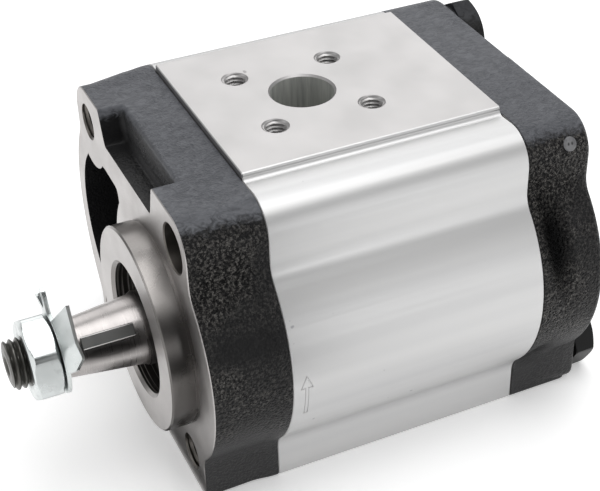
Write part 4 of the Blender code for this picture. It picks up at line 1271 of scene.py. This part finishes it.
def softbox(name, place_at, target, size, radiance):
    """Area light of a stated radiance."""
    data = bpy.data.lights.new(name, "AREA")
    data.shape = "RECTANGLE"
    data.size = size[0]
    data.size_y = size[1]
    data.energy = radiance * pi * size[0] * size[1]
    lamp = bpy.data.objects.new(name, data)
    lamp.location = place_at
    lamp.rotation_euler = (Vector(target) - Vector(place_at)).to_track_quat("-Z", "Y").to_euler()
    bpy.context.scene.collection.objects.link(lamp)


def sheet(name, half, scale, centre, mat):
    """Flat sheet of the studio, half being the side's half length before scaling."""
    bm = bmesh.new()
    bmesh.ops.create_grid(bm, x_segments=1, y_segments=1, size=half)
    bmesh.ops.scale(bm, vec=Vector(scale), verts=bm.verts)
    mesh = bpy.data.meshes.new(name)
    bm.to_mesh(mesh)
    bm.free()
    obj = bpy.data.objects.new(name, mesh)
    obj.location = centre
    mesh.materials.append(mat)
    bpy.context.scene.collection.objects.link(obj)
    return obj


def flag(name, centre, size, facing):
    """Black card that only shows in reflections."""
    card = sheet(name, 0.5, (size[0], size[1], 1.0), centre, CARD)
    card.rotation_euler = Vector(facing).to_track_quat("Z", "Y").to_euler()
    card.visible_camera = False
    card.visible_shadow = False
    card.visible_diffuse = False


def make_stage():
    paper = Surface("floor_paper", 0.0, 0.85, (0.90, 0.90, 0.90))
    paper.bump(paper.noise(300.0, 2.0), 0.0001, 0.2)
    paper.put(paper.shader, {"Emission Color": (1.0, 1.0, 1.0, 1.0), "Emission Strength": 0.32})
    floor = sheet("floor", 3.0, (1.0, 1.0, 1.0), (0.0, 0.0, -0.0002), paper.mat)
    world = bpy.data.worlds.new("studio")
    world.use_nodes = True
    background = world.node_tree.nodes["Background"]
    background.inputs["Color"].default_value = (1.0, 1.0, 1.0, 1.0)
    background.inputs["Strength"].default_value = 0.35
    bpy.context.scene.world = world
    target = (0.0, 0.0, 0.04)
    softbox("overhead", (0.12, 0.15, 1.1), target, (1.0, 1.0), 2.3)
    softbox("back", (-0.80, 0.40, 0.70), target, (1.3, 0.9), 1.38)
    softbox("side", (0.95, 0.42, 0.38), target, (0.9, 0.6), 0.66)
    softbox("glint", (0.92, 0.28, 0.17), target, (0.12, 0.12), 9.0)
    softbox("front", (-0.25, -1.0, 0.55), target, (0.8, 0.5), 1.0)
    flag("front_flag", (0.125, -0.046, 0.050), (0.10, 0.17), (-1.0, -0.15, -0.1))
    flag("floor_flag", (0.018, -0.0430, 0.0004), (0.050, 0.012), (0.0, 0.0, 1.0))
    bpy.context.scene.view_settings.view_transform = "Standard"


make_camera()
make_stage()
make_front_cover()
make_pump_body()
make_rear_cover()
make_shaft()
make_key()
make_nut()
make_washer()
make_bolt("clamp_bolt_upper", HOLE_MIN_X, HOLE_HIGH_Z, REAR_Y, radians(30.0))
make_bolt("clamp_bolt_lower", HOLE_MAX_X, HOLE_LOW_Z, LOW_BOSS_Y, 0.0)
make_shaft_seal()
make_retaining_ring()
make_cast_marks()
repaint_all()
